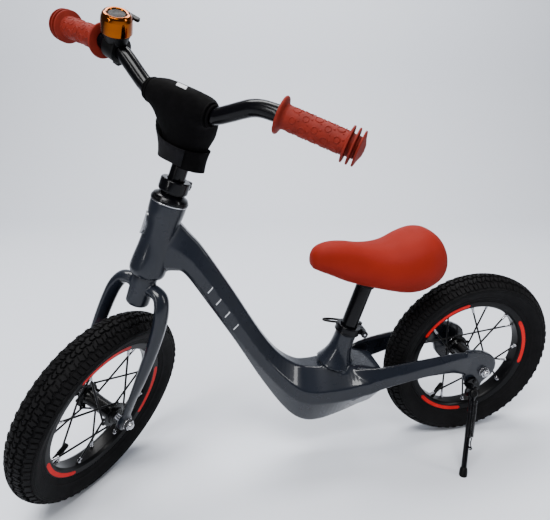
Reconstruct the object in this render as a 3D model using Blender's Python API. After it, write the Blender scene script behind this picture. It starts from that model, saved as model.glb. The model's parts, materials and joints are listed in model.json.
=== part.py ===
"""Balance bike: cast frame and fork, spoked 12 inch wheels, T bar, saddle, bell and kickstand.

Everything is modelled on the upright bike: X forward, Y to the rider's left, Z up, with the
origin on the ground under the rear axle.  One empty leans that upright bike onto its kickstand,
and others carry the turned steering, the wheels and every piece that moves.
Lengths in the tables are millimetres and are turned into metres by MM.
"""

import math

import bmesh
import bpy
from mathutils import Matrix, Vector

MM = 0.001
GAP = 0.3 * MM                       # clearance between pieces that touch

# Wheels
TYRE_RADIUS = 150 * MM
TYRE_HALF_WIDTH = 28.7 * MM
TYRE_WALL = 3.5 * MM
RIM_EDGE_RADIUS = 108 * MM
RIM_EDGE_HALF_WIDTH = 13.3 * MM
RIM_BED_RADIUS = 95.5 * MM
RIM_BED_THICKNESS = 4 * MM
TUBE_SECTION = 16.5 * MM
TUBE_MIDDLE = 128 * MM               # from the axle to the middle of the inflated tube
TUBE_WALL = 1.6 * MM
STEM_LENGTH = 38 * MM                # valve stem, from inside the tube towards the hub
HUB_LENGTH = 62 * MM
FLANGE_RADIUS = 19 * MM
FLANGE_Y = 25 * MM
BARREL_RADIUS = 8.5 * MM
AXLE_RADIUS = 4 * MM
SPOKE_RADIUS = 1.1 * MM
HOLE_CIRCLE = FLANGE_RADIUS + SPOKE_RADIUS + GAP   # where the spokes start, clear of the hub
SPOKES_PER_SIDE = 8
SPOKE_LEAN = 75                      # degrees from a spoke's rim end round to its hub end
VALVE_ANGLE = 270                    # degrees; the wheels are then turned to their parked places
FIRST_SPOKE = 7.6
REAR_WHEEL_TURN = -32.2
FRONT_WHEEL_TURN = -48.0

# Steering geometry
WHEELBASE = 603.1 * MM
HEAD_ANGLE = 70.06
PARKED_SHIFT = (-282.4 * MM, -71.3 * MM)   # puts the origin under the middle of the parked bike
FORK_OFFSET = 9.2 * MM
STEER_REST = 49.15
HEAD_TUBE = (215 * MM, 320 * MM)     # heights along the steering axis from the front axle
HEAD_BORE_RADIUS = 20 * MM
STEERER_RADIUS = 14.3 * MM
STEERER_TOP = 345 * MM
STEM_RADIUS = 11.1 * MM
BAR_RADIUS = 9.7 * MM
BAR_FORWARD = 40 * MM
BAR_HEIGHT = 443 * MM
GRIP_LENGTH = 88 * MM

# Frame
FRAME_WALL = 3.5 * MM
DROPOUT_Y = (43 * MM, 52 * MM)       # inner and outer face of each rear dropout
SEAT_TUBE_TOP = Vector((224.5 * MM, 0, 222 * MM))
SEAT_TUBE_ANGLE = 16.5               # degrees that the seat post leans back
SEAT_POST_RADIUS = 12.7 * MM
SEAT_POST_BELOW = 95 * MM            # length of post inside the frame at rest
SEAT_POST_ABOVE = 87 * MM            # length of post above the frame

# Parked on its kickstand
PARKED_LEAN = 7.0
KICKSTAND_PIVOT = Vector((31 * MM, 75 * MM, 129 * MM))
KICKSTAND_FOOT = Vector((60.8 * MM, 129.7 * MM, 16.1 * MM))

ROUND = 24                           # sides of a medium round piece
WHEEL_SIDES = 36                     # sides of the tyre and the rim


# ---------------------------------------------------------------- building blocks

def clear_scene():
    for existing in list(bpy.data.objects):
        bpy.data.objects.remove(existing)


def material(name, colour, roughness, metallic=0.0):
    made = bpy.data.materials.new(name)
    made.use_nodes = True
    shader = made.node_tree.nodes["Principled BSDF"]
    shader.inputs["Base Color"].default_value = (*colour, 1.0)
    shader.inputs["Roughness"].default_value = roughness
    shader.inputs["Metallic"].default_value = metallic
    return made


def empty(name, parent=None, matrix=None):
    made = bpy.data.objects.new(name, None)
    bpy.context.scene.collection.objects.link(made)
    made.parent = parent
    if matrix is not None:
        made.matrix_local = matrix
    made.empty_display_size = 0.03
    return made


def add_object(name, bm, parent, finish):
    """Close off a bmesh as a named object whose faces all point outwards."""
    bmesh.ops.remove_doubles(bm, verts=bm.verts, dist=1e-7)
    bmesh.ops.recalc_face_normals(bm, faces=bm.faces)
    mesh = bpy.data.meshes.new(name)
    bm.to_mesh(mesh)
    bm.free()
    made = bpy.data.objects.new(name, mesh)
    bpy.context.scene.collection.objects.link(made)
    made.parent = parent
    if finish is not None:
        mesh.materials.append(finish)
    for polygon in mesh.polygons:
        polygon.use_smooth = True
    mesh.set_sharp_from_angle(angle=math.radians(35))
    return made


def skin(bm, rings, capped=True, loop=False):
    """Join rings of points into one skin.  A loop of rings joins its last ring to its first."""
    rows = [[bm.verts.new(point) for point in ring] for ring in rings]
    count = len(rows[0])
    pairs = list(zip(rows, rows[1:]))
    if loop:
        pairs.append((rows[-1], rows[0]))
    for first, second in pairs:
        for index in range(count):
            after = (index + 1) % count
            corners = [first[index], first[after], second[after], second[index]]
            bm.faces.new(corners)
    if capped and not loop:
        bm.faces.new(list(reversed(rows[0])))
        bm.faces.new(rows[-1])
    return rows


def turned(profile, sides=ROUND, along="Z", ring=True, start=0.0):
    """Turn a profile of (radius, position) pairs about an axis.

    A ring is a closed profile that stays off the axis.  Otherwise the profile runs from axis to
    axis, so its first and last radius are zero.
    """
    bm = bmesh.new()

    def place(radius, position, angle):
        across = radius * math.cos(angle)
        up = radius * math.sin(angle)
        if along == "Y":
            return Vector((across, position, up))
        return Vector((across, up, position))

    angles = [start + 2 * math.pi * step / sides for step in range(sides)]
    inner = profile if ring else profile[1:-1]
    rings = [[place(r, z, angle) for angle in angles] for r, z in inner]
    if ring:
        skin(bm, rings, loop=True)
        return bm
    rows = skin(bm, rings, capped=False)
    for end, row in ((profile[0], rows[0]), (profile[-1], rows[-1])):
        pole = bm.verts.new(place(0.0, end[1], 0.0))
        for index in range(sides):
            bm.faces.new([pole, row[index], row[(index + 1) % sides]])
    return bm


def cylinder(radius, low, high, sides=ROUND, along="Z", chamfer=0.0, start=0.0):
    profile = [(0, low), (radius - chamfer, low)]
    if chamfer:
        profile.append((radius, low + chamfer))
        profile.append((radius, high - chamfer))
    profile.append((radius - chamfer, high))
    profile.append((0, high))
    return turned(profile, sides, along, ring=False, start=start)


def pipe(outer, inner, low, high, sides=ROUND, along="Z"):
    return turned([(outer, low), (outer, high), (inner, high), (inner, low)], sides, along)


def hex_nut(flat, bore, height):
    """A six sided nut standing on z = 0.  flat is half its width across the flats."""
    bm = bmesh.new()
    steps = [2 * math.pi * step / 12 for step in range(12)]

    def hexagon(inset, z):
        ring = []
        for angle in steps:
            from_flat = (angle + math.pi / 6) % (math.pi / 3) - math.pi / 6
            radius = min(flat / math.cos(from_flat), flat * 1.155 - inset)
            ring.append(Vector((radius * math.cos(angle), radius * math.sin(angle), z)))
        return ring

    hole = [[Vector((bore * math.cos(a), bore * math.sin(a), z)) for a in steps]
            for z in (height, 0)]
    chamfer = 0.9 * MM
    rings = [hexagon(chamfer, 0), hexagon(0, chamfer), hexagon(0, height - chamfer),
             hexagon(chamfer, height)]
    skin(bm, rings + hole, loop=True)
    return bm


def moved(bm, matrix):
    bmesh.ops.transform(bm, matrix=matrix, verts=bm.verts)
    return bm


def frame_along(direction, side=Vector((0, 1, 0))):
    """A rotation whose Z runs along direction and whose Y stays close to side."""
    z = direction.normalized()
    x = side.cross(z).normalized()
    y = z.cross(x)
    return Matrix((x, y, z)).transposed().to_4x4()


def swept(points, sections, side=Vector((0, 1, 0)), loop=False):
    """Sweep a section along points.  sections(index) gives (u, v) pairs about each point,
    u across and v towards side."""
    bm = bmesh.new()
    rings = []
    count = len(points)
    for index, point in enumerate(points):
        before = points[index - 1] if index or loop else points[0]
        after = points[(index + 1) % count] if loop or index < count - 1 else points[-1]
        turn = frame_along(after - before, side)
        rings.append([point + turn @ Vector((u, v, 0)) for u, v in sections(index)])
    skin(bm, rings, loop=loop)
    return bm


def circle(radius_u, radius_v=None, sides=12):
    radius_v = radius_u if radius_v is None else radius_v
    angles = [2 * math.pi * step / sides for step in range(sides)]
    return [(radius_u * math.cos(a), radius_v * math.sin(a)) for a in angles]


def between(table, value):
    """Linear reading of a table of (key, value...) rows, keys rising."""
    for low, high in zip(table, table[1:]):
        if value <= high[0]:
            break
    share = (value - low[0]) / (high[0] - low[0])
    share = min(max(share, 0.0), 1.0)
    return [a + (b - a) * share for a, b in zip(low, high)]


def combine(body, tool, operation):
    """Union with, or cut by, a tool object, which is used up."""
    modifier = body.modifiers.new("combine", "BOOLEAN")
    modifier.operation = operation
    modifier.object = tool
    modifier.solver = "EXACT"
    bpy.context.view_layer.update()
    evaluated = body.evaluated_get(bpy.context.evaluated_depsgraph_get())
    mesh = bpy.data.meshes.new_from_object(evaluated)
    body.modifiers.clear()
    body.data = mesh
    bpy.data.objects.remove(tool)
    for polygon in mesh.polygons:
        polygon.use_smooth = True
    mesh.set_sharp_from_angle(angle=math.radians(35))
    return body


def unite(body, bm):
    return combine(body, add_object("tool", bm, body.parent, None), "UNION")


def cut(body, bm):
    return combine(body, add_object("tool", bm, body.parent, None), "DIFFERENCE")


def mirrored(bm):
    """A copy of a bmesh on the other side of the bike."""
    made = bm.copy()
    bmesh.ops.scale(made, vec=(1, -1, 1), verts=made.verts)
    bmesh.ops.reverse_faces(made, faces=made.faces)
    return made


def points_mm(rows):
    return [Vector(row) * MM for row in rows]


# ---------------------------------------------------------------- the parked pose

def steering_matrix(angle):
    """The steering frame in the upright bike: Z up the axis, Y left, foot at the front axle."""
    tilt = Matrix.Rotation(-math.radians(90 - HEAD_ANGLE), 4, "Y")
    forward = tilt @ Vector((1, 0, 0))
    foot = Vector((WHEELBASE, 0, TYRE_RADIUS)) - forward * FORK_OFFSET
    return Matrix.Translation(foot) @ tilt @ Matrix.Rotation(math.radians(angle), 4, "Z")


def tyre_reach(centre, axle, down):
    """How far a tyre reaches along down, from its centre, axle direction and section."""
    flat = math.sqrt(max(0.0, 1 - axle.dot(down) ** 2))
    return centre.dot(down) + (TYRE_RADIUS - TYRE_HALF_WIDTH) * flat + TYRE_HALF_WIDTH


def parked_matrix():
    """Lean the bike to its left until both tyres and the kickstand foot are on the floor."""
    steering = steering_matrix(STEER_REST)
    front_centre = steering @ Vector((FORK_OFFSET, 0, 0))
    front_axle = steering.to_3x3() @ Vector((0, 1, 0))
    rear_centre = Vector((0, 0, TYRE_RADIUS))
    low, high = -0.1, 0.1
    for _ in range(50):
        pitch = (low + high) / 2
        turn = Matrix.Rotation(pitch, 4, "Y") @ Matrix.Rotation(-math.radians(PARKED_LEAN), 4, "X")
        down = turn.to_3x3().transposed() @ Vector((0, 0, -1))
        rear = tyre_reach(rear_centre, Vector((0, 1, 0)), down)
        front = tyre_reach(front_centre, front_axle, down)
        if front > rear:
            high = pitch
        else:
            low = pitch
    return Matrix.Translation((*PARKED_SHIFT, rear)) @ turn


# ---------------------------------------------------------------- wheels

def rim_profile():
    bed = RIM_BED_RADIUS
    return [(bed, -8.5 * MM), (bed, 8.5 * MM), (bed + 3 * MM, 12.2 * MM),
            (RIM_EDGE_RADIUS, RIM_EDGE_HALF_WIDTH), (RIM_EDGE_RADIUS, RIM_EDGE_HALF_WIDTH - 2 * MM),
            (bed + RIM_BED_THICKNESS, 8.5 * MM), (bed + RIM_BED_THICKNESS, -8.5 * MM),
            (RIM_EDGE_RADIUS, -RIM_EDGE_HALF_WIDTH + 2 * MM), (RIM_EDGE_RADIUS, -RIM_EDGE_HALF_WIDTH),
            (bed + 3 * MM, -12.2 * MM)]


# Outside of the tyre below its round crown: radius and distance from the middle plane.
TYRE_FLANK = [(138, 24.3), (133, 25.4), (126, 22.8), (117, 18.4)]
TYRE_LINING = [(146.4, 0), (143, 12), (135, 20.3), (127, 19.3), (116, 14.4), (110, 8)]


def tyre_profile():
    """Round crown, a flank that is widest at the shoulder, and a bead that sits in the rim."""
    middle = TYRE_RADIUS - TYRE_HALF_WIDTH
    half = []
    for degrees in (0, 22, 44):
        angle = math.radians(degrees)
        half.append((middle + TYRE_HALF_WIDTH * math.cos(angle), TYRE_HALF_WIDTH * math.sin(angle)))
    half += [(r * MM, y * MM) for r, y in TYRE_FLANK]
    edge = RIM_EDGE_RADIUS + GAP
    lips = [(edge, RIM_EDGE_HALF_WIDTH), (edge, RIM_EDGE_HALF_WIDTH - 2.6 * MM),
            (RIM_BED_RADIUS + 6.5 * MM, 8.6 * MM), (RIM_BED_RADIUS + 6.5 * MM, 6 * MM)]
    lining = [(r * MM, y * MM) for r, y in reversed(TYRE_LINING)]
    left = half + lips + lining
    right = [(r, -y) for r, y in reversed(left[1:-1])]
    return left + right


def add_tyre(name, wheel, finish):
    bm = turned(tyre_profile(), WHEEL_SIDES, along="Y")
    return add_object(name, bm, wheel, finish)


def valve_line():
    angle = math.radians(VALVE_ANGLE)
    out = Vector((math.cos(angle), 0, math.sin(angle)))
    return frame_along(-out)


def add_inner_tube(name, wheel, finish):
    """A ring of thin wall with its valve stem.  The stem's bore opens the ring to the air."""
    middle = TUBE_MIDDLE

    def section(radius, sides=6):
        return [(middle + radius * math.cos(2 * math.pi * k / sides),
                 radius * math.sin(2 * math.pi * k / sides)) for k in range(sides)]

    body = add_object(name, turned(section(TUBE_SECTION), 24, along="Y"), wheel, finish)
    stem_low = -(middle - TUBE_SECTION + 2 * MM)
    stem = cylinder(4.0 * MM, stem_low, stem_low + STEM_LENGTH, 10)
    unite(body, moved(stem, valve_line()))
    hollow = add_object("hollow", turned(section(TUBE_SECTION - TUBE_WALL), 24, along="Y"),
                        wheel, None)
    bore = cylinder(1.6 * MM, stem_low - 2 * MM, stem_low + STEM_LENGTH + 2 * MM, 6)
    unite(hollow, moved(bore, valve_line()))
    combine(body, hollow, "DIFFERENCE")
    return body


def add_valve_cap(name, wheel, finish):
    top = -(TUBE_MIDDLE - TUBE_SECTION + 2 * MM) + STEM_LENGTH + GAP
    bm = cylinder(3.9 * MM, top, top + 10 * MM, 12, chamfer=1 * MM)
    return add_object(name, moved(bm, valve_line()), wheel, finish)


def add_rim(name, wheel, finish):
    rim = add_object(name, turned(rim_profile(), WHEEL_SIDES, along="Y"), wheel, finish)
    hole = cylinder(4.6 * MM, -(RIM_BED_RADIUS + 8 * MM), -(RIM_BED_RADIUS - 5 * MM), 12)
    cut(rim, moved(hole, valve_line()))
    return rim


def add_hub(name, wheel, finish):
    """Barrel with two flanges, bored for the axle and recessed at each end for a bearing."""
    half = HUB_LENGTH / 2
    left = [(FLANGE_RADIUS, FLANGE_Y + 2 * MM), (13 * MM, FLANGE_Y + 3 * MM), (12 * MM, half),
            (10 * MM, half), (10 * MM, half - 7 * MM), (5.5 * MM, half - 7 * MM)]
    near = [(5.5 * MM, -half + 7 * MM), (10 * MM, -half + 7 * MM), (10 * MM, -half),
            (12 * MM, -half), (13 * MM, -FLANGE_Y - 3 * MM), (FLANGE_RADIUS, -FLANGE_Y - 2 * MM),
            (FLANGE_RADIUS, -FLANGE_Y + 1 * MM), (BARREL_RADIUS, -FLANGE_Y + 3.5 * MM),
            (BARREL_RADIUS, FLANGE_Y - 3.5 * MM), (FLANGE_RADIUS, FLANGE_Y - 1 * MM)]
    bm = turned(left + near, 20, along="Y")
    return add_object(name, bm, wheel, finish)


def spoke_ends(side, index):
    """Hub end and rim end of a spoke: neighbours lean opposite ways and so cross."""
    lean = SPOKE_LEAN if index % 2 else -SPOKE_LEAN
    offset = 0 if side > 0 else 180 / SPOKES_PER_SIDE
    rim_angle = math.radians(index * 360 / SPOKES_PER_SIDE + offset + FIRST_SPOKE)
    hub_angle = rim_angle + math.radians(lean)
    hub_y = side * (FLANGE_Y + (0.1 if index % 2 else 0.9) * MM)
    rim_y = side * 5.0 * MM
    start = Vector((math.cos(hub_angle), 0, math.sin(hub_angle))) * HOLE_CIRCLE
    end = Vector((math.cos(rim_angle), 0, math.sin(rim_angle))) * (RIM_BED_RADIUS - 0.8 * MM)
    start.y = hub_y
    end.y = rim_y
    return start, end


def add_spokes(name, wheel, finish, side):
    """The spokes of one side.  They cross and touch, so together they are one body."""
    body = None
    for index in range(SPOKES_PER_SIDE):
        start, end = spoke_ends(side, index)
        length = (end - start).length
        bm = cylinder(SPOKE_RADIUS, 0, length, 5, start=0.11 * (index + 1))
        moved(bm, Matrix.Translation(start) @ frame_along(end - start))
        if body is None:
            body = add_object(name, bm, wheel, finish)
        else:
            unite(body, bm)
    return body


def add_bearing(name, wheel, finish, side):
    half = HUB_LENGTH / 2
    outer = 10 * MM - GAP
    inner = AXLE_RADIUS + GAP
    low = half - 7 * MM + GAP
    high = half + 0.5 * MM
    profile = [(outer, low), (outer, high - 1 * MM), (6.5 * MM, high), (inner, high), (inner, low)]
    profile = [(r, side * y) for r, y in profile]
    return add_object(name, turned(profile, 14, along="Y"), wheel, finish)


def wheel_matrix(x, z, turn):
    return Matrix.Translation((x, 0, z)) @ Matrix.Rotation(math.radians(turn), 4, "Y")


def add_wheel(prefix, wheel, finishes):
    add_tyre(prefix + "_tyre", wheel, finishes["tyre"])
    add_inner_tube(prefix + "_inner_tube", wheel, finishes["inner_tube"])
    add_valve_cap(prefix + "_valve_cap", wheel, finishes["black_plastic"])
    add_rim(prefix + "_rim", wheel, finishes["rim"])
    add_hub(prefix + "_hub", wheel, finishes["hub"])
    for word, side in (("left", 1), ("right", -1)):
        add_spokes(f"{prefix}_spokes_{word}", wheel, finishes["spoke"], side)
        add_bearing(f"{prefix}_bearing_{word}", wheel, finishes["steel"], side)


def add_axle_set(prefix, holder, centre, outer_face, finishes):
    """Axle through both dropouts, with a washer and a nut outside each."""
    end = outer_face + 8.2 * MM
    place = Matrix.Translation(centre)
    axle = cylinder(AXLE_RADIUS, -end, end, 12, along="Y", chamfer=0.8 * MM)
    add_object(prefix + "_axle", moved(axle, place), holder, finishes["steel"])
    for word, side in (("left", 1), ("right", -1)):
        low = outer_face + GAP
        washer = [(8.5 * MM, low), (8.5 * MM, low + 1.4 * MM), (AXLE_RADIUS + GAP, low + 1.4 * MM),
                  (AXLE_RADIUS + GAP, low)]
        washer = [(r, side * y) for r, y in washer]
        add_object(f"{prefix}_axle_washer_{word}", moved(turned(washer, 14, along="Y"), place),
                   holder, finishes["zinc"])
        nut = hex_nut(7.0 * MM, AXLE_RADIUS + GAP, 5.2 * MM)
        turn = frame_along(Vector((0, side, 0)), Vector((1, 0, 0)))
        lift = Matrix.Translation((0, side * (low + 1.4 * MM + GAP), 0))
        add_object(f"{prefix}_axle_nut_{word}", moved(nut, place @ lift @ turn),
                   holder, finishes["zinc"])


# ---------------------------------------------------------------- frame

# Down tube and footrest belly, from the head tube down and back to the crotch of the stays.
# Each row: top x, z; bottom x, z; half widths at the top, the ridge, the low corner and the
# bottom; height of the ridge and of the low corner as shares of the depth from the top.
SPINE = [
    (486, 436, 506, 352, 10, 17, 16, 8, 0.50, 0.86),
    (462, 404, 484, 352, 8, 17, 15, 8, 0.50, 0.86),
    (443, 379, 470, 345, 7, 18, 15, 8, 0.52, 0.86),
    (405, 315, 441, 298, 7, 20, 16, 9, 0.50, 0.84),
    (363, 241, 402, 232, 8, 23, 19, 11, 0.46, 0.80),
    (334, 201, 362, 160, 9, 29, 27, 14, 0.36, 0.66),
    (306, 179, 325, 104, 11, 38, 35, 19, 0.33, 0.58),
    (284, 173, 297, 80, 14, 43, 41, 22, 0.30, 0.52),
    (258, 172, 268, 75, 18, 46, 44, 22, 0.28, 0.50),
    (230, 172, 232, 84, 22, 48, 47, 22, 0.28, 0.52),
    (205, 171, 205, 96, 24, 50, 49, 24, 0.24, 0.52),
    (184, 166, 184, 110, 26, 50, 49, 30, 0.26, 0.54),
    (168, 160, 168, 136, 26, 47, 47, 32, 0.30, 0.60),
]

# Left stay, from inside the belly back to the dropout.  Each row: x; heights of the top, the
# ridge, the low corner and the foot; distances from the middle plane at the inside, the top,
# the ridge and the foot.
STAY = [
    (222, 168, 149, 121, 110, 18, 26, 46, 30),
    (203, 172, 152, 131, 121, 27, 33, 49, 34),
    (186, 175, 156, 137, 128, 35, 40, 51, 38),
    (166, 178, 161, 144, 136, 38, 44, 53, 42),
    (138, 181, 167, 150, 144, 38, 46, 55, 43),
    (108, 184, 174, 156, 150, 39, 47, 56, 45),
    (78, 187, 178, 157, 152, 40, 48, 56, 47),
    (50, 189, 181, 155, 150, 41, 48, 54, 48),
    (24, 188, 181, 147, 140, 43, 48, 52, 49),
]

SEAT_ROOT = [(0, 16.5), (14, 16.8), (26, 18), (36, 20.5), (46, 25), (56, 31)]
HEAD_OUTSIDE = [(215, 22.5), (221, 24.5), (234, 24), (262, 21.5), (290, 22), (306, 23.5), (320, 24)]


def spine_section(row, shrink=0.0):
    """Closed outline across the down tube at one row of the table."""
    top = Vector((row[0], 0, row[1])) * MM
    bottom = Vector((row[2], 0, row[3])) * MM
    down = (bottom - top)
    depth = down.length
    down.normalize()
    levels = [(0.0, row[4]), (row[8], row[5]), (row[9], row[6]), (1.0, row[7])]
    side = []
    for share, width in levels:
        along = min(max(share * depth, shrink), depth - shrink)
        side.append((top + down * along, max(width * MM - shrink * 1.2, 2 * MM)))
    left = [point + Vector((0, width, 0)) for point, width in side]
    right = [point - Vector((0, width, 0)) for point, width in reversed(side)]
    return left + right


def stay_section(row):
    x = row[0]
    top, ridge, low, foot, inside, crest, outside, sole = row[1:]
    outline = [(inside, top - 5), (crest, top), (outside, ridge), (outside - 0.5, low),
               (sole, foot), (inside, foot + 6)]
    return [Vector((x, y, z)) * MM for y, z in outline]


def stay_mesh():
    bm = bmesh.new()
    skin(bm, [stay_section(row) for row in STAY])
    return bm


def plate(outline, low, high):
    """A flat plate with an (x, z) outline, from y = low to y = high."""
    bm = bmesh.new()
    skin(bm, [[Vector((x, y, z)) for x, z in outline] for y in (low, high)])
    return bm


def dropout_outline():
    """Rounded rear end of a stay with a tab for the kickstand below it, in metres."""
    front = [(34, 190), (34, 146), (30, 132), (20, 119), (8, 113), (0, 118), (-2, 128)]
    hind = []
    for degrees in range(-50, 61, 22):
        angle = math.radians(180 - degrees)
        hind.append((4 + 26 * math.cos(angle), 157 + 26 * math.sin(angle)))
    top = [(4, 186), (18, 189)]
    return [(x * MM, z * MM) for x, z in front + hind + top]


def seat_tube_matrix():
    lean = Matrix.Rotation(-math.radians(SEAT_TUBE_ANGLE), 4, "Y")
    return Matrix.Translation(SEAT_TUBE_TOP) @ lean


def add_frame(root, finish):
    """One casting: union of the spine, stays, dropouts, seat tube and head tube, then bored."""
    bm = bmesh.new()
    skin(bm, [spine_section(row) for row in SPINE])
    frame = add_object("frame", bm, root, finish)
    for side in (1, -1):
        stay = stay_mesh()
        end = plate(dropout_outline(), DROPOUT_Y[0], DROPOUT_Y[1])
        if side < 0:
            stay = mirrored(stay)
            end = plate(dropout_outline(), -DROPOUT_Y[1], -DROPOUT_Y[0])
        unite(frame, stay)
        unite(frame, end)
    profile = [(0, 0)] + [(r * MM, -d * MM) for d, r in SEAT_ROOT] + [(0, -SEAT_ROOT[-1][0] * MM)]
    unite(frame, moved(turned(profile, 20, ring=False), seat_tube_matrix()))
    steering = steering_matrix(0)
    profile = [(0, HEAD_TUBE[0])] + [(r * MM, h * MM) for h, r in HEAD_OUTSIDE] + [(0, HEAD_TUBE[1])]
    unite(frame, moved(turned(profile, ROUND, ring=False), steering))
    hole = cylinder(AXLE_RADIUS + GAP, -80 * MM, 80 * MM, 12, along="Y")
    cut(frame, moved(hole, Matrix.Translation((0, 0, TYRE_RADIUS))))
    hollow_frame(frame, steering)
    return frame


def hollow_frame(frame, steering):
    """Bore the head tube, seat tube and axle holes, and hollow the casting between them."""
    bm = bmesh.new()
    rows = [SPINE[0]] + SPINE[2:9]
    skin(bm, [spine_section(row, FRAME_WALL) for row in rows])
    inside = add_object("inside", bm, frame.parent, None)
    low, high = HEAD_TUBE
    unite(inside, moved(cylinder(HEAD_BORE_RADIUS, low - 5 * MM, high + 5 * MM, 20), steering))
    bore = cylinder(SEAT_POST_RADIUS + GAP, -118 * MM, 8 * MM, 18)
    unite(inside, moved(bore, seat_tube_matrix()))
    combine(frame, inside, "DIFFERENCE")


def add_head_parts(root, finishes):
    """Bearings pressed into the head tube, and a plain badge on its front."""
    low, high = HEAD_TUBE
    for name, start, end in (("lower_headset_bearing", low + 1 * MM, low + 10 * MM),
                             ("upper_headset_bearing", high - 10 * MM, high - 1 * MM)):
        outer = HEAD_BORE_RADIUS - GAP
        inner = STEERER_RADIUS + GAP
        bm = moved(pipe(outer, inner, start, end, 20), steering_matrix(0))
        add_object(name, bm, root, finishes["steel"])
    rings = []
    for height, half, lift in ((268, 3, 0.5), (271, 8, 1.6), (284, 10, 1.6), (297, 8, 1.6), (300, 3, 0.5)):
        outer = between(HEAD_OUTSIDE, height)[1] * MM
        arc = []
        for step in range(-2, 3):
            angle = step / 2 * half * MM / outer
            arc.append((outer + GAP + lift * MM, angle))
        for step in range(2, -3, -1):
            angle = step / 2 * half * MM / outer
            arc.append((outer + GAP, angle))
        rings.append([Vector((r * math.cos(a), r * math.sin(a), height * MM)) for r, a in arc])
    bm = bmesh.new()
    skin(bm, rings)
    add_object("head_badge", moved(bm, steering_matrix(0)), root, finishes["badge"])


# ---------------------------------------------------------------- seat

# Saddle seen from the side: x, height of the edge, height of the crown, half width.
SADDLE = [
    (84, 332, 344, 12), (87, 323, 361, 32), (96, 311, 377, 45), (111, 303, 386, 53),
    (128, 298, 387, 56), (148, 297, 381, 54), (170, 300, 372, 47), (192, 304, 369, 38),
    (216, 310, 370, 31), (240, 318, 373, 27), (260, 328, 374, 23), (276, 336, 371, 18),
    (285, 342, 364, 12), (290, 346, 356, 4),
]


def saddle_section(row):
    """A closed outline across the saddle: crowned top, sides rolling under to the edge."""
    x, edge, crown, half = row
    height = crown - edge
    outline = []
    for degrees in (-62, -30, 0, 28, 55, 75):
        angle = math.radians(degrees)
        z = edge + height * (0.42 + 0.58 * math.sin(angle)) if degrees > 0 else \
            edge + height * 0.42 * (1 + math.sin(angle) / math.sin(math.radians(62)))
        outline.append((half * math.cos(angle) ** 0.8, z))
    outline.append((0, crown))
    points = [(y, z) for y, z in outline] + [(-y, z) for y, z in reversed(outline[:-1])]
    return [Vector((x, y, z)) * MM for y, z in points]


def add_saddle(seat, to_bike, finishes):
    """Foam cover over a plastic base pan with a socket that takes the post."""
    back = to_bike.inverted()
    bm = bmesh.new()
    skin(bm, [saddle_section(row) for row in SADDLE])
    cover = add_object("saddle_cover", moved(bm, back), seat, finishes["saddle"])
    rows = [row for row in SADDLE if 96 <= row[0] <= 260]
    rings = []
    for x, edge, crown, half in rows:
        width = half * 0.6
        ring = [(width, edge - 4), (width, edge + 9), (width * 0.5, edge + 12),
                (-width * 0.5, edge + 12), (-width, edge + 9), (-width, edge - 4)]
        rings.append([Vector((x, y, z)) * MM for y, z in ring])
    pocket = bmesh.new()
    skin(pocket, rings)
    moved(pocket, back)
    cut(cover, pocket)
    return cover


def add_saddle_base(seat, to_bike, finishes):
    back = to_bike.inverted()
    rows = [row for row in SADDLE if 96 < row[0] < 260]
    rings = []
    for x, edge, crown, half in rows:
        width = half * 0.6 - 0.6
        ring = [(width, edge + 2), (width, edge + 8), (width * 0.5, edge + 11),
                (-width * 0.5, edge + 11), (-width, edge + 8), (-width, edge + 2)]
        rings.append([Vector((x, y, z)) * MM for y, z in ring])
    bm = bmesh.new()
    skin(bm, rings)
    base = add_object("saddle_base", moved(bm, back), seat, finishes["black_plastic"])
    unite(base, cylinder(16.5 * MM, SEAT_POST_ABOVE - 16 * MM, SEAT_POST_ABOVE + 5 * MM, 18))
    cut(base, cylinder(SEAT_POST_RADIUS + GAP, SEAT_POST_ABOVE - 18 * MM, SEAT_POST_ABOVE + GAP, 18))
    return base


def add_seat_post(seat, finishes):
    """Post that ends inside the saddle's socket; the seat's own frame has Z up the post."""
    profile = [(SEAT_POST_RADIUS, -SEAT_POST_BELOW), (SEAT_POST_RADIUS, SEAT_POST_ABOVE),
               (SEAT_POST_RADIUS - 1.8 * MM, SEAT_POST_ABOVE),
               (SEAT_POST_RADIUS - 1.8 * MM, -SEAT_POST_BELOW)]
    add_object("seat_post", turned(profile, 18), seat, finishes["black_gloss"])


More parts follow.
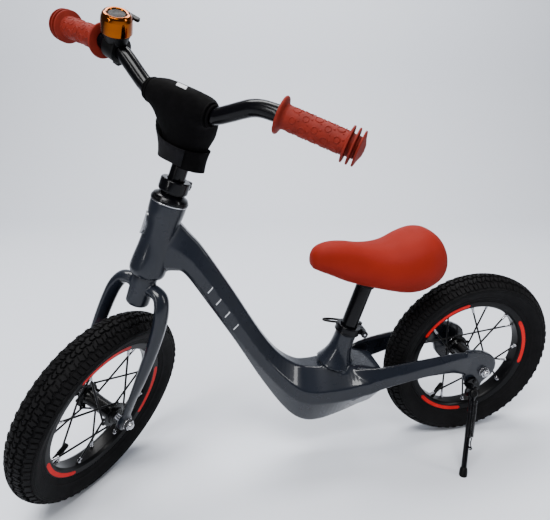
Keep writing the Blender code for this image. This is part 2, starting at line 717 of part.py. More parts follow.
def add_seat_clamp(root, finishes):
    """Quick release collar round the top of the seat tube, with its rod, barrel nut and lever."""
    place = seat_tube_matrix()
    inner = SEAT_POST_RADIUS + 2 * GAP
    outline = [(inner, 0.6 * MM), (19.5 * MM, 0.6 * MM), (19.5 * MM, 3 * MM), (19.5 * MM, 11 * MM),
               (17.5 * MM, 12.5 * MM), (inner, 12.5 * MM)]
    collar = add_object("seat_clamp_collar", moved(turned(outline, ROUND), place), root,
                        finishes["black_gloss"])
    ears = bmesh.new()
    bmesh.ops.create_cube(ears, size=1.0)
    bmesh.ops.scale(ears, vec=(11 * MM, 17 * MM, 10 * MM), verts=ears.verts)
    bmesh.ops.translate(ears, vec=(-23 * MM, 0, 6.5 * MM), verts=ears.verts)
    unite(collar, moved(ears, place))
    slot = bmesh.new()
    bmesh.ops.create_cube(slot, size=1.0)
    bmesh.ops.scale(slot, vec=(24 * MM, 2.4 * MM, 30 * MM), verts=slot.verts)
    bmesh.ops.translate(slot, vec=(-24 * MM, 0, 6.5 * MM), verts=slot.verts)
    cut(collar, moved(slot, place))
    rod_line = place @ Matrix.Translation((-24 * MM, 0, 6.5 * MM))
    hole = cylinder(2.8 * MM, -20 * MM, 20 * MM, 12, along="Y")
    cut(collar, moved(hole, rod_line))
    rod = cylinder(2.5 * MM, -16.8 * MM, 16 * MM, 12, along="Y")
    add_object("seat_clamp_rod", moved(rod, rod_line), root, finishes["black_gloss"])
    nut = turned([(5.5 * MM, 8.8 * MM), (5.5 * MM, 15.5 * MM), (4.5 * MM, 16.5 * MM),
                  (2.8 * MM, 16.5 * MM), (2.8 * MM, 8.8 * MM)], 16, along="Y")
    add_object("seat_clamp_nut", moved(nut, rod_line), root, finishes["black_gloss"])
    return rod_line


def add_clamp_lever(axis, finishes):
    """Cam boss across the collar's right side and a looped handle that swings about it."""
    body = add_object("seat_clamp_lever", cylinder(6.5 * MM, -6.5 * MM, 6.5 * MM, 18,
                                                   chamfer=1 * MM), axis, finishes["black_gloss"])
    loop = []
    for step in range(18):
        angle = 2 * math.pi * step / 18
        along = 27.5 + 24.5 * math.cos(angle)
        apart = (2.2 + 4 * along / 52) * math.sin(angle)
        loop.append(Vector((along, -5.4 - 0.23 * along + apart, 2 - 0.2 * along)) * MM)
    handle = swept(loop, lambda index: circle(1.9 * MM, sides=6), Vector((0, 0, 1)), loop=True)
    unite(body, handle)
    outline = [(2.9, 0), (2.9, 9), (-9, 9), (-9, -4.4), (0, -3.4), (2.4, -2.6)]
    slot = bmesh.new()
    skin(slot, [[Vector((x, y, z)) * MM for x, y in outline] for z in (-2.8, 2.8)])
    cut(body, slot)
    return body


# ---------------------------------------------------------------- kickstand

def kickstand_axis_matrix():
    """Frame on the kickstand's pivot: Z along the pivot bolt, X along the leg towards its foot."""
    leg = (KICKSTAND_FOOT - KICKSTAND_PIVOT).normalized()
    stowed = Vector((-1, 0.05, 0.05)).normalized()
    pivot = leg.cross(stowed).normalized()
    turn = Matrix((leg, pivot.cross(leg), pivot)).transposed().to_4x4()
    return Matrix.Translation(KICKSTAND_PIVOT) @ turn


def add_kickstand(axis, parked, finishes):
    """Leg, its coil spring and a rubber foot cut flat where it meets the floor."""
    length = (KICKSTAND_FOOT - KICKSTAND_PIVOT).length
    eye = cylinder(8 * MM, -4.6 * MM, 4.6 * MM, 18, chamfer=0.6 * MM)
    leg = add_object("kickstand_leg", eye, axis, finishes["black_gloss"])
    rod = cylinder(4.2 * MM, 6.5 * MM, length - 17 * MM, 12)
    unite(leg, moved(rod, frame_along(Vector((1, 0, 0)))))
    lug = cylinder(1.6 * MM, 0, 9.5 * MM, 8)
    place = Matrix.Translation((66 * MM, 0, 0)) @ frame_along(Vector((0, 0.35, 1)), Vector((1, 0, 0)))
    unite(leg, moved(lug, place))
    cut(leg, cylinder(3.3 * MM, -6 * MM, 6 * MM, 14))
    coil = []
    turns = 9
    for step in range(turns * 6 + 1):
        angle = 2 * math.pi * step / 6
        along = 12 * MM + 40 * MM * step / (turns * 6)
        coil.append(Vector((along, 3.1 * MM * math.sin(angle), 8.6 * MM + 3.1 * MM * math.cos(angle))))
    spring = swept(coil, lambda index: circle(0.85 * MM, sides=4), Vector((0, 0.3, 1)))
    add_object("kickstand_spring", spring, axis, finishes["black_gloss"])
    add_kickstand_foot(axis, parked, length, finishes)


def add_kickstand_foot(axis, parked, length, finishes):
    """Rubber shoe whose sole lies flat on the floor when the bike is parked."""
    shoe = cylinder(6.8 * MM, length - 20 * MM, length + 14 * MM, 18, chamfer=2 * MM)
    foot = add_object("kickstand_foot", moved(shoe, frame_along(Vector((1, 0, 0)))), axis,
                      finishes["black_plastic"])
    cut(foot, moved(cylinder(4.5 * MM, 0, length - 16.7 * MM, 12), frame_along(Vector((1, 0, 0)))))
    below = bmesh.new()
    bmesh.ops.create_cube(below, size=0.1)
    bmesh.ops.translate(below, vec=(0, 0, -0.05), verts=below.verts)
    floor_here = Matrix.Translation((parked @ KICKSTAND_FOOT).xy.to_3d())
    local = (parked @ kickstand_axis_matrix()).inverted() @ floor_here
    cut(foot, moved(below, local))


def add_kickstand_mount(root, finishes):
    """Bracket bolted to the left dropout's tab, with the pivot bolt through the leg's eye."""
    axis = kickstand_axis_matrix()
    tab_y = DROPOUT_Y[1]
    outline = [(8 * MM, 132 * MM), (4 * MM, 120 * MM), (14 * MM, 114 * MM), (26 * MM, 120 * MM),
               (34 * MM, 132 * MM), (26 * MM, 142 * MM), (14 * MM, 142 * MM)]
    bracket = add_object("kickstand_bracket", plate(outline, tab_y + GAP, tab_y + 6 * MM), root,
                         finishes["black_gloss"])
    arm_start = Vector((22, 56.5, 128)) * MM
    arm_end = KICKSTAND_PIVOT - axis.to_3x3() @ Vector((0, 0, 9 * MM))
    boss = cylinder(8.5 * MM, -10 * MM, -5 * MM, 18)
    unite(bracket, moved(boss, axis))
    reach = arm_end - arm_start
    arm = cylinder(5.5 * MM, 0, reach.length - 1 * MM, 12)
    unite(bracket, moved(arm, Matrix.Translation(arm_start) @ frame_along(reach)))
    cut(bracket, moved(cylinder(3.3 * MM, -9 * MM, 4 * MM, 14), axis))
    bolt = turned([(0, -8.6 * MM), (3.0 * MM, -8.6 * MM), (3.0 * MM, 4.9 * MM), (6.0 * MM, 4.9 * MM),
                   (6.0 * MM, 6.6 * MM), (4.5 * MM, 7.6 * MM), (0, 7.6 * MM)], 14, ring=False)
    add_object("kickstand_pivot_bolt", moved(bolt, axis), root, finishes["zinc"])


# ---------------------------------------------------------------- steering

# Left fork blade in the steering frame: x forward, y left, height, half width across the bike,
# half depth along it.
BLADE = [
    (0, 12, 197, 9, 10.5), (0, 24, 197, 9.3, 11.5), (0, 34, 192, 9.5, 12.5), (1, 41, 178, 9.5, 13),
    (1, 45, 158, 9, 13), (2, 47, 132, 8.5, 12.5), (4, 47.5, 100, 8, 11.5), (6, 47, 66, 6.6, 10.5),
    (8, 46, 34, 4.4, 9.5), (9.2, 45.8, 4, 3.6, 9),
]


def add_fork(steering, finishes):
    """Steerer, boss and two blades in one casting, each blade ending in a bored dropout."""
    profile = [(0, 168 * MM), (13 * MM, 168 * MM), (16 * MM, 171 * MM), (17 * MM, 205 * MM),
               (17 * MM, HEAD_TUBE[0] - 2 * GAP), (STEERER_RADIUS, HEAD_TUBE[0] - 2 * GAP),
               (STEERER_RADIUS, STEERER_TOP), (0, STEERER_TOP)]
    fork = add_object("fork", turned(profile, 20, ring=False), steering, finishes["paint"])
    for side in (1, -1):
        points = [Vector((x, side * y, h)) * MM for x, y, h, across, deep in BLADE]

        def section(index):
            return circle(BLADE[index][3] * MM, BLADE[index][4] * MM, 12)

        unite(fork, swept(points, section, Vector((1, 0, 0))))
        tip = cylinder(12 * MM, DROPOUT_Y[0] - 1 * MM, DROPOUT_Y[0] + 7 * MM, 20, along="Y")
        if side < 0:
            tip = mirrored(tip)
        unite(fork, moved(tip, Matrix.Translation((FORK_OFFSET, 0, 0))))
    cut(fork, cylinder(STEM_RADIUS + GAP, 222 * MM, STEERER_TOP + 5 * MM, 20))
    hole = cylinder(AXLE_RADIUS + GAP, -80 * MM, 80 * MM, 12, along="Y")
    cut(fork, moved(hole, Matrix.Translation((FORK_OFFSET, 0, 0))))
    return fork


def add_steerer_parts(steering, finishes):
    """Dust cap over the upper bearing and the split collar that grips the stem."""
    top = HEAD_TUBE[1]
    inner = STEERER_RADIUS + GAP
    cap = [(inner, top + GAP), (24.3 * MM, top + GAP), (24.6 * MM, top + 3 * MM),
           (23.6 * MM, top + 4.4 * MM), (22.4 * MM, top + 7 * MM), (18 * MM, top + 9.5 * MM),
           (16.5 * MM, top + 11 * MM), (inner, top + 11 * MM)]
    add_object("headset_top_cap", turned(cap, ROUND), steering, finishes["black_gloss"])
    low, high = STEERER_TOP - 9 * MM, STEERER_TOP + 5 * MM
    lip = STEM_RADIUS + 2 * GAP
    collar = [(inner, low), (18.5 * MM, low), (18.5 * MM, high - 1 * MM), (17.5 * MM, high),
              (lip, high), (lip, STEERER_TOP + GAP), (inner, STEERER_TOP + GAP)]
    ring = add_object("steerer_clamp_collar", turned(collar, ROUND), steering,
                      finishes["black_gloss"])
    ears = bmesh.new()
    bmesh.ops.create_cube(ears, size=1.0)
    bmesh.ops.scale(ears, vec=(10 * MM, 18 * MM, 12 * MM), verts=ears.verts)
    bmesh.ops.translate(ears, vec=(-21.5 * MM, 0, low + 7 * MM), verts=ears.verts)
    unite(ring, ears)
    slot = bmesh.new()
    bmesh.ops.create_cube(slot, size=1.0)
    bmesh.ops.scale(slot, vec=(20 * MM, 2.4 * MM, 30 * MM), verts=slot.verts)
    bmesh.ops.translate(slot, vec=(-23 * MM, 0, low + 7 * MM), verts=slot.verts)
    cut(ring, slot)
    line = Matrix.Translation((-22.5 * MM, 0, low + 7 * MM))
    cut(ring, moved(cylinder(2.4 * MM, -20 * MM, 20 * MM, 12, along="Y"), line))
    bolt = turned([(0, -13 * MM), (4 * MM, -13 * MM), (4 * MM, -9.3 * MM), (2.1 * MM, -9.3 * MM),
                   (2.1 * MM, 10.5 * MM), (0, 10.5 * MM)], 12, along="Y", ring=False)
    add_object("steerer_clamp_bolt", moved(bolt, line), steering, finishes["zinc"])


# ---------------------------------------------------------------- handlebar

def bar_path():
    """Left half of the bar from its middle out to its end, in the steering frame."""
    return points_mm([(40, 0, 443), (40, 30, 443), (40.3, 43, 444), (41.2, 54, 448),
                      (42.6, 67, 455.5), (44, 80, 463.5), (45.2, 92, 470), (45.6, 105, 473.5),
                      (45.2, 124, 474.8), (26.6, 210, 472.8)])


def mirror_points(points):
    return [Vector((p.x, -p.y, p.z)) for p in points]


def grip_matrix(side):
    """Frame at the inner end of a grip: Z outwards along the bar."""
    path = bar_path() if side > 0 else mirror_points(bar_path())
    start, end = path[-2:]
    return Matrix.Translation(start) @ frame_along(end - start, Vector((0, 0, 1)))


def add_bar(bar, finishes):
    """Bent tube, open at both ends, and the stem that holds it."""
    left = bar_path()
    points = list(reversed(mirror_points(left[1:]))) + left
    outer = swept(points, lambda index: circle(BAR_RADIUS, sides=14), Vector((1, 0, 0.01)))
    handlebar = add_object("handlebar", outer, bar, finishes["black_gloss"])
    beyond = (points[-1] - points[-2]).normalized() * 4 * MM
    ends = (points[0] + Vector((beyond.x, -beyond.y, beyond.z)), points[-1] + beyond)
    longer = [ends[0]] + points[1:-1] + [ends[1]]
    inner = swept(longer, lambda index: circle(BAR_RADIUS - 2 * MM, sides=10), Vector((1, 0, 0.01)))
    cut(handlebar, inner)
    tube = cylinder(STEM_RADIUS, 265 * MM, 440 * MM, 18, chamfer=1 * MM)
    stem = add_object("handlebar_stem", tube, bar, finishes["black_gloss"])
    reach = cylinder(10 * MM, 0, BAR_FORWARD, 16)
    line = Vector((BAR_FORWARD, 0, BAR_HEIGHT)) - Vector((0, 0, 428 * MM))
    unite(stem, moved(reach, Matrix.Translation((0, 0, 428 * MM)) @ frame_along(line)))
    clamp = cylinder(14.5 * MM, -16 * MM, 16 * MM, 20, along="Y")
    unite(stem, moved(clamp, Matrix.Translation((BAR_FORWARD, 0, BAR_HEIGHT))))
    hole = cylinder(BAR_RADIUS + 2 * GAP, -30 * MM, 30 * MM, 16, along="Y")
    cut(stem, moved(hole, Matrix.Translation((BAR_FORWARD, 0, BAR_HEIGHT))))


def add_grip(name, bar, side, finishes):
    """Rubber sleeve with a wide inner flange and two guard discs at its outer end."""
    inner = BAR_RADIUS + GAP
    end = GRIP_LENGTH
    profile = [(inner, 0), (20 * MM, 0), (21 * MM, 1.5 * MM), (20 * MM, 3.5 * MM),
               (13.8 * MM, 5.5 * MM), (13.2 * MM, end - 13 * MM), (20 * MM, end - 11.5 * MM),
               (20 * MM, end - 9.5 * MM), (12.5 * MM, end - 9 * MM), (12.5 * MM, end - 5.4 * MM),
               (20 * MM, end - 5 * MM), (20 * MM, end - 3 * MM), (12.5 * MM, end - 2.4 * MM),
               (12.5 * MM, end), (inner, end)]
    add_object(name, moved(turned(profile, 20), grip_matrix(side)), bar, finishes["grip"])


def add_end_plug(name, bar, side, finishes):
    """Domed guard on the very end of the grip, with a stub that plugs the bar."""
    end = GRIP_LENGTH
    stub = BAR_RADIUS - 2.5 * MM
    profile = [(0, end - 18 * MM), (stub, end - 18 * MM), (stub, end + GAP), (12.5 * MM, end + GAP),
               (12.5 * MM, end + 1 * MM), (19.6 * MM, end + 1.5 * MM), (19.6 * MM, end + 3.4 * MM),
               (13 * MM, end + 5 * MM), (6 * MM, end + 7.6 * MM), (0, end + 8.2 * MM)]
    add_object(name, moved(turned(profile, 20, ring=False), grip_matrix(side)), bar, finishes["grip"])


# Bar pad: height, how far forward its middle is, half width across the bike and along it.
PAD = [
    (374, 3, 23, 21), (386, 4, 25, 23), (402, 8, 28, 27), (418, 15, 34, 33),
    (434, 25, 41, 35), (448, 31, 44, 32), (458, 34, 43, 26), (463, 36, 37, 17),
]
PAD_SLEEVE = (16.5, 45.5)            # radius and half length of the sleeve round the bar


def pad_ring(height, grow=0.0):
    """Level outline round the pad at a height in millimetres, grown outwards by so many."""
    forward, half_y, half_x = between(PAD, height)[1:]
    ring = []
    for step in range(16):
        angle = 2 * math.pi * step / 16
        x = forward + (half_x + grow) * math.copysign(abs(math.cos(angle)) ** 0.8, math.cos(angle))
        y = (half_y + grow) * math.copysign(abs(math.sin(angle)) ** 0.8, math.sin(angle))
        ring.append(Vector((x, y, height)) * MM)
    return ring


def add_pad(bar, finishes):
    """Soft pad wrapped round the stem clamp and the middle of the bar, open round the tubes."""
    bm = bmesh.new()
    skin(bm, [pad_ring(row[0]) for row in PAD])
    pad = add_object("handlebar_pad", bm, bar, finishes["fabric"])
    radius, reach_out = PAD_SLEEVE
    sleeve = cylinder(radius * MM, -reach_out * MM, reach_out * MM, 20, along="Y", chamfer=1.5 * MM)
    unite(pad, moved(sleeve, Matrix.Translation((BAR_FORWARD, 0, BAR_HEIGHT + 1.5 * MM))))
    room = cylinder(STEM_RADIUS + 1 * MM, 360 * MM, 442 * MM, 16)
    inside = add_object("room", room, bar, None)
    across = cylinder(16.5 * MM, -20 * MM, 20 * MM, 16, along="Y")
    moved(across, Matrix.Translation((BAR_FORWARD, 0, BAR_HEIGHT)))
    unite(inside, across)
    left = bar_path()[:8]
    points = list(reversed(mirror_points(left[1:]))) + left
    unite(inside, swept(points, lambda index: circle(BAR_RADIUS + 0.6 * MM, sides=14),
                        Vector((1, 0, 0.01))))
    reach = cylinder(11 * MM, 0, BAR_FORWARD, 16)
    line = Vector((BAR_FORWARD, 0, BAR_HEIGHT)) - Vector((0, 0, 428 * MM))
    unite(inside, moved(reach, Matrix.Translation((0, 0, 428 * MM)) @ frame_along(line)))
    combine(pad, inside, "DIFFERENCE")


def add_pad_strap(bar, finishes):
    """Closing strap wrapped round the foot of the pad."""
    heights = (375.5, 386, 396, 406)
    inside = [pad_ring(height, 0.6) for height in heights]
    outside = [pad_ring(height, 2.6) for height in reversed(heights)]
    bm = bmesh.new()
    skin(bm, inside + outside, loop=True)
    add_object("handlebar_pad_strap", bm, bar, finishes["fabric"])


STRIKER_AT = 205                     # degrees round the bell from its front to its striker
BELL_DOME_RADIUS = 18 * MM
STRIKER_PIN_RADIUS = 2.4 * MM
STRIKER_PIN_OUT = BELL_DOME_RADIUS + STRIKER_PIN_RADIUS + 1.6 * MM   # from the bell's middle
LUG_TOP = 19.6 * MM                  # face of the base's lug that the striker stands on


def bell_matrix():
    """Frame on the bar beside the right grip: Z up through the dome's middle, Y along the bar."""
    spot = Vector((45.4, -104, 473.2)) * MM
    tilt = Matrix.Rotation(math.radians(-9), 4, "X") @ Matrix.Rotation(math.radians(28), 4, "Y")
    return Matrix.Translation(spot) @ tilt


def striker_matrix():
    """The striker's pin, behind the dome."""
    round_dome = Matrix.Rotation(math.radians(STRIKER_AT), 4, "Z")
    return bell_matrix() @ round_dome @ Matrix.Translation((STRIKER_PIN_OUT, 0, LUG_TOP))


def add_bell(bar, finishes):
    """Clamp base, dome and its screw."""
    place = bell_matrix()
    along = Matrix.Rotation(math.radians(-90), 4, "X")
    base = add_object("bell_base", moved(cylinder(15.5 * MM, -9 * MM, 9 * MM, 20), place @ along),
                      bar, finishes["black_plastic"])
    deck = turned([(0, 6 * MM), (12 * MM, 6 * MM), (16.5 * MM, 18 * MM), (16.5 * MM, 21 * MM),
                   (5 * MM, 22 * MM), (5 * MM, 34 * MM), (0, 34 * MM)], 20, ring=False)
    unite(base, moved(deck, place))
    lug = bmesh.new()
    bmesh.ops.create_cube(lug, size=1.0)
    bmesh.ops.scale(lug, vec=(13 * MM, 7 * MM, 3 * MM), verts=lug.verts)
    bmesh.ops.translate(lug, vec=(19.5 * MM, 0, LUG_TOP - 1.5 * MM), verts=lug.verts)
    moved(lug, Matrix.Rotation(math.radians(STRIKER_AT), 4, "Z"))
    unite(base, moved(lug, place))
    left = bar_path()
    points = mirror_points(left)
    cut(base, swept(points, lambda index: circle(BAR_RADIUS + GAP, sides=16), Vector((1, 0, 0.01))))
    cut(base, moved(cylinder(2.1 * MM, 24 * MM, 46 * MM, 10), place))
    dome = [(18, 20), (18, 37), (16.6, 40.5), (13.8, 42), (10.2, 42), (9, 37), (2.2, 36.5), (2.2, 35),
            (10, 35.4), (11.4, 40.4), (13.2, 40.5), (15.6, 39), (16.8, 36), (16.8, 20)]
    dome = [(r * MM, z * MM) for r, z in dome]
    add_object("bell_dome", moved(turned(dome, 20), place), bar, finishes["gold"])
    screw = turned([(0, 26 * MM), (1.8 * MM, 26 * MM), (1.8 * MM, 36.9 * MM), (7.2 * MM, 37.3 * MM),
                    (7.2 * MM, 38.4 * MM), (4.5 * MM, 39.6 * MM), (0, 39.6 * MM)], 14, ring=False)
    add_object("bell_screw", moved(screw, place), bar, finishes["black_plastic"])


def add_striker(axis, finishes):
    """Thumb lever on a pin that stands on the base's lug, beside the dome."""
    pin = cylinder(STRIKER_PIN_RADIUS, GAP, 22 * MM, 12)
    striker = add_object("bell_striker", pin, axis, finishes["black_plastic"])
    outline = [(-1.5, 3), (2.8, 2), (2.5, -4), (-1, -13), (-4, -21), (-9.5, -20), (-8.8, -16),
               (-4.2, -9), (-3, -1)]
    wedge = bmesh.new()
    skin(wedge, [[Vector((x, y, z)) * MM for x, y in outline] for z in (18, 22.5)])
    unite(striker, wedge)


# ---------------------------------------------------------------- main

def make_finishes():
    return {
        "paint": material("slate_paint", (0.045, 0.055, 0.070), 0.22, 0.35),
        "tyre": material("tyre_rubber", (0.012, 0.012, 0.013), 0.75),
        "inner_tube": material("inner_tube_rubber", (0.02, 0.02, 0.02), 0.6),
        "rim": material("rim_black", (0.012, 0.012, 0.013), 0.35),
        "hub": material("hub_black", (0.01, 0.01, 0.01), 0.3),
        "spoke": material("spoke_black", (0.008, 0.008, 0.008), 0.35),
        "steel": material("bearing_steel", (0.55, 0.55, 0.56), 0.3, 1.0),
        "zinc": material("zinc_plate", (0.72, 0.73, 0.75), 0.25, 1.0),
        "black_gloss": material("black_gloss", (0.008, 0.008, 0.009), 0.2),
        "black_plastic": material("black_plastic", (0.012, 0.012, 0.012), 0.45),
        "badge": material("badge_silver", (0.75, 0.76, 0.78), 0.25, 1.0),
        "saddle": material("saddle_cover", (0.42, 0.055, 0.022), 0.45),
        "grip": material("grip_rubber", (0.36, 0.06, 0.035), 0.55),
        "fabric": material("pad_fabric", (0.006, 0.006, 0.006), 0.9),
        "gold": material("bell_gold", (0.75, 0.33, 0.04), 0.15, 1.0),
    }


def main():
    clear_scene()
    finishes = make_finishes()
    parked = parked_matrix()
    root = empty("parked_bike", matrix=parked)
    steering = empty("steering_axis", root, matrix=steering_matrix(STEER_REST))
    bar = empty("bar_height_slide", steering)
    rear_wheel = empty("rear_wheel_axis", root, matrix=wheel_matrix(0, TYRE_RADIUS, REAR_WHEEL_TURN))
    front_wheel = empty("front_wheel_axis", steering,
                        matrix=wheel_matrix(FORK_OFFSET, 0, FRONT_WHEEL_TURN))
    seat = empty("seat_height_slide", root, matrix=seat_tube_matrix())
    kickstand = empty("kickstand_axis", root, matrix=kickstand_axis_matrix())

    add_frame(root, finishes["paint"])
    add_head_parts(root, finishes)
    add_wheel("rear", rear_wheel, finishes)
    add_wheel("front", front_wheel, finishes)
    add_axle_set("rear", root, (0, 0, TYRE_RADIUS), DROPOUT_Y[1], finishes)
    add_axle_set("front", steering, (FORK_OFFSET, 0, 0), DROPOUT_Y[0] + 7 * MM, finishes)
    add_kickstand_mount(root, finishes)
    add_kickstand(kickstand, parked, finishes)
    add_seat_post(seat, finishes)
    add_saddle(seat, seat_tube_matrix(), finishes)
    add_saddle_base(seat, seat_tube_matrix(), finishes)
    rod_line = add_seat_clamp(root, finishes)
    lever_place = rod_line @ Matrix.Translation((0, -15.5 * MM, 0))
    lever = empty("clamp_lever_axis", root, matrix=lever_place)
    add_clamp_lever(lever, finishes)
    add_fork(steering, finishes)
    add_steerer_parts(steering, finishes)
    add_bar(bar, finishes)
    for word, side in (("left", 1), ("right", -1)):
        add_grip(word + "_grip", bar, side, finishes)
        add_end_plug(word + "_end_plug", bar, side, finishes)
    add_pad(bar, finishes)
    add_pad_strap(bar, finishes)
    add_bell(bar, finishes)
    striker = empty("bell_striker_axis", bar, matrix=striker_matrix())
    add_striker(striker, finishes)


main()
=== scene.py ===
"""The looks of the balance bike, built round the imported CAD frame."""
import json
from math import copysign, cos, exp, pi, radians, sin, sqrt

import bpy
import bmesh
import numpy as np
from mathutils import Matrix, Vector
from mathutils.bvhtree import BVHTree


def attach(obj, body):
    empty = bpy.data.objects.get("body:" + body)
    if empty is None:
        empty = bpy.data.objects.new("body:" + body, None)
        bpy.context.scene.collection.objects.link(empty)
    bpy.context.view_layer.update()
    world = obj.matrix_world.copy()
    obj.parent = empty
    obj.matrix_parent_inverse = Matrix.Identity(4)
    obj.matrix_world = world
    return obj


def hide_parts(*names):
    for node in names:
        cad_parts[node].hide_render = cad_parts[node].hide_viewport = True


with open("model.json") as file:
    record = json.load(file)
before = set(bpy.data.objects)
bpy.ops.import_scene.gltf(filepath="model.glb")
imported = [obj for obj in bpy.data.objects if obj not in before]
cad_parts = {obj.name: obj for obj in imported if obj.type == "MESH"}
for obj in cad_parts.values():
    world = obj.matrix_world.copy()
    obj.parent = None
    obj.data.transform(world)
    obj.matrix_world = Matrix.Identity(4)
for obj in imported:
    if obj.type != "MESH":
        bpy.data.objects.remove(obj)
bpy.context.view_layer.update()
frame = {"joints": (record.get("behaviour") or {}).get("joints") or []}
JOINTS = {joint["name"]: joint for joint in frame["joints"]}
MM = 0.001

# ---------------------------------------------------------------- the bike's own frames

HEAD_ANGLE = radians(70.06)
TYRE_RADIUS = 150
TYRE_HALF_WIDTH = 28.7
FORK_OFFSET = 9.2
AXLE_HOLE = 4.3
SEAT_TILT = -16.5
RIM_EDGE = 108
RIM_BED = 95.5
RIM_HALF = 13.3


def axes_matrix(x, y, z, origin):
    return Matrix.Translation(origin) @ Matrix((x, y, z)).transposed().to_4x4()


def shift(x, y, z):
    return Matrix.Translation(Vector((x, y, z)) * MM)


def spun(degrees, axis):
    return Matrix.Rotation(radians(degrees), 4, axis)


def joint_axis(name):
    return Vector(JOINTS[name]["axis"]).normalized()


side_axis = joint_axis("rear_wheel_spin")
steer_axis = joint_axis("steering_turn")
lean_forward = side_axis.cross(steer_axis).normalized()
bike_x = (lean_forward * sin(HEAD_ANGLE) - steer_axis * cos(HEAD_ANGLE)).normalized()
bike_z = bike_x.cross(side_axis).normalized()
rear_centre = Vector(JOINTS["rear_wheel_spin"]["pos_m"])
# Bike frame: x forward, y left, z up, its origin on the ground under the rear axle.
BIKE = axes_matrix(bike_x, side_axis, bike_z, rear_centre - bike_z * TYRE_RADIUS * MM)
# Steering frame: z up the steering axis, y along the front axle to the left.
front_axis = joint_axis("front_wheel_spin")
STEER = axes_matrix(front_axis.cross(steer_axis).normalized(), front_axis, steer_axis,
                    Vector(JOINTS["steering_turn"]["pos_m"]))
REAR_WHEEL = BIKE @ shift(0, 0, TYRE_RADIUS)
FRONT_WHEEL = STEER @ shift(FORK_OFFSET, 0, 0)
SEAT_TOP = Vector((224.5, 0, 222))


# ---------------------------------------------------------------- materials

def set_inputs(node, **values):
    for name, value in values.items():
        node.inputs[name.replace("_", " ")].default_value = value


def add_node(made, kind, **values):
    node = made.node_tree.nodes.new("ShaderNode" + kind)
    set_inputs(node, **values)
    return node


def link(made, source, output, target, name):
    made.node_tree.links.new(source.outputs[output], target.inputs[name])


def new_material(name, **values):
    made = bpy.data.materials.new(name)
    made.use_nodes = True
    shader = made.node_tree.nodes["Principled BSDF"]
    set_inputs(shader, **values)
    return made, shader


def finish_material(name, color, roughness, metallic=0.0, coat=0.0, coat_roughness=0.05,
                    grain=0.0, grain_scale=400.0, wobble=0.0, wobble_scale=60.0, vary=0.15,
                    vary_scale=25.0, rough_vary=0.12, sheen=0.0, specular=0.5):
    """Principled material with colour drift, uneven gloss, fine grain and a slow surface wobble."""
    made, shader = new_material(name, Metallic=metallic, Coat_Weight=coat, Sheen_Weight=sheen,
                                Coat_Roughness=coat_roughness, Specular_IOR_Level=specular)
    made.diffuse_color = (*color, 1.0)
    place = add_node(made, "TexCoord")

    def noise(scale, detail=4.0):
        node = add_node(made, "TexNoise", Scale=scale, Detail=detail)
        link(made, place, "Object", node, "Vector")
        return node

    drift = noise(vary_scale)
    ramp = add_node(made, "ValToRGB")
    for stop, position, change in zip(ramp.color_ramp.elements, (0.3, 0.7), (-vary, vary)):
        stop.position = position
        stop.color = (*(min(1.0, channel * (1 + change)) for channel in color), 1)
    link(made, drift, "Fac", ramp, "Fac")
    link(made, ramp, "Color", shader, "Base Color")
    gloss = noise(vary_scale * 2.3)
    spread = add_node(made, "MapRange", To_Min=max(0.02, roughness * (1 - rough_vary)),
                      To_Max=min(1.0, roughness * (1 + rough_vary)))
    link(made, gloss, "Fac", spread, "Value")
    link(made, spread, "Result", shader, "Roughness")
    last = None
    for strength, scale, distance in ((wobble, wobble_scale, 0.002), (grain, grain_scale, 0.0004)):
        if not strength:
            continue
        bump = add_node(made, "Bump", Strength=strength, Distance=distance)
        link(made, noise(scale, 3.0), "Fac", bump, "Height")
        if last:
            link(made, last, "Normal", bump, "Normal")
        last = bump
    if last:
        link(made, last, "Normal", shader, "Normal")
    return made


def fabric_material(name, color, pitch, depth, sheen=0.3):
    """Knitted face of neoprene: two crossed waves make the stitches."""
    made = finish_material(name, color, 0.92, vary=0.35, vary_scale=90, sheen=sheen, specular=0.06)
    place = add_node(made, "TexCoord")
    both = add_node(made, "Math")
    both.operation = "MULTIPLY"
    for index, direction in enumerate(("X", "Z")):
        wave = add_node(made, "TexWave", Scale=1.0 / (pitch * 3.2), Distortion=0.8, Detail=2.0)
        wave.bands_direction = direction
        link(made, place, "Object", wave, "Vector")
        link(made, wave, "Fac", both, index)
    bump = add_node(made, "Bump", Strength=depth, Distance=0.0005)
    link(made, both, "Value", bump, "Height")
    link(made, bump, "Normal", made.node_tree.nodes["Principled BSDF"], "Normal")
    return made


PAINT = finish_material("slate_paint", (0.0066, 0.0084, 0.0130), 0.28, coat=0.32,
                        coat_roughness=0.07, grain=0.03, grain_scale=1400, wobble=0.02,
                        wobble_scale=45, vary=0.08, specular=0.14)
STRIPE = finish_material("stripe_grey", (0.50, 0.51, 0.53), 0.40, grain=0.1, grain_scale=900,
                         vary=0.08, specular=0.2)
TYRE = finish_material("tyre_rubber", (0.0024, 0.0023, 0.0026), 0.70, grain=0.5, grain_scale=900,
                       wobble=0.1, wobble_scale=200, vary=0.35, vary_scale=40, specular=0.09)
RIM = finish_material("rim_black", (0.0018, 0.0018, 0.0022), 0.30, coat=0.03, coat_roughness=0.12,
                      grain=0.08, grain_scale=900, vary=0.3, specular=0.08)
DECAL = finish_material("rim_decal_red", (0.52, 0.0050, 0.0060), 0.42, grain=0.05, grain_scale=900,
                        vary=0.12, vary_scale=60, specular=0.08)
SPOKE = finish_material("spoke_black", (0.0014, 0.0014, 0.0018), 0.36, grain=0.05, vary=0.3,
                        specular=0.12)
BRIGHT = finish_material("zinc_plate", (0.42, 0.42, 0.44), 0.24, metallic=1.0, grain=0.25,
                         grain_scale=1500, vary=0.25, vary_scale=180, rough_vary=0.35)
HUB = finish_material("hub_black", (0.0014, 0.0014, 0.0016), 0.26, coat=0.05, coat_roughness=0.10,
                      grain=0.05, grain_scale=700, vary=0.3, specular=0.10)
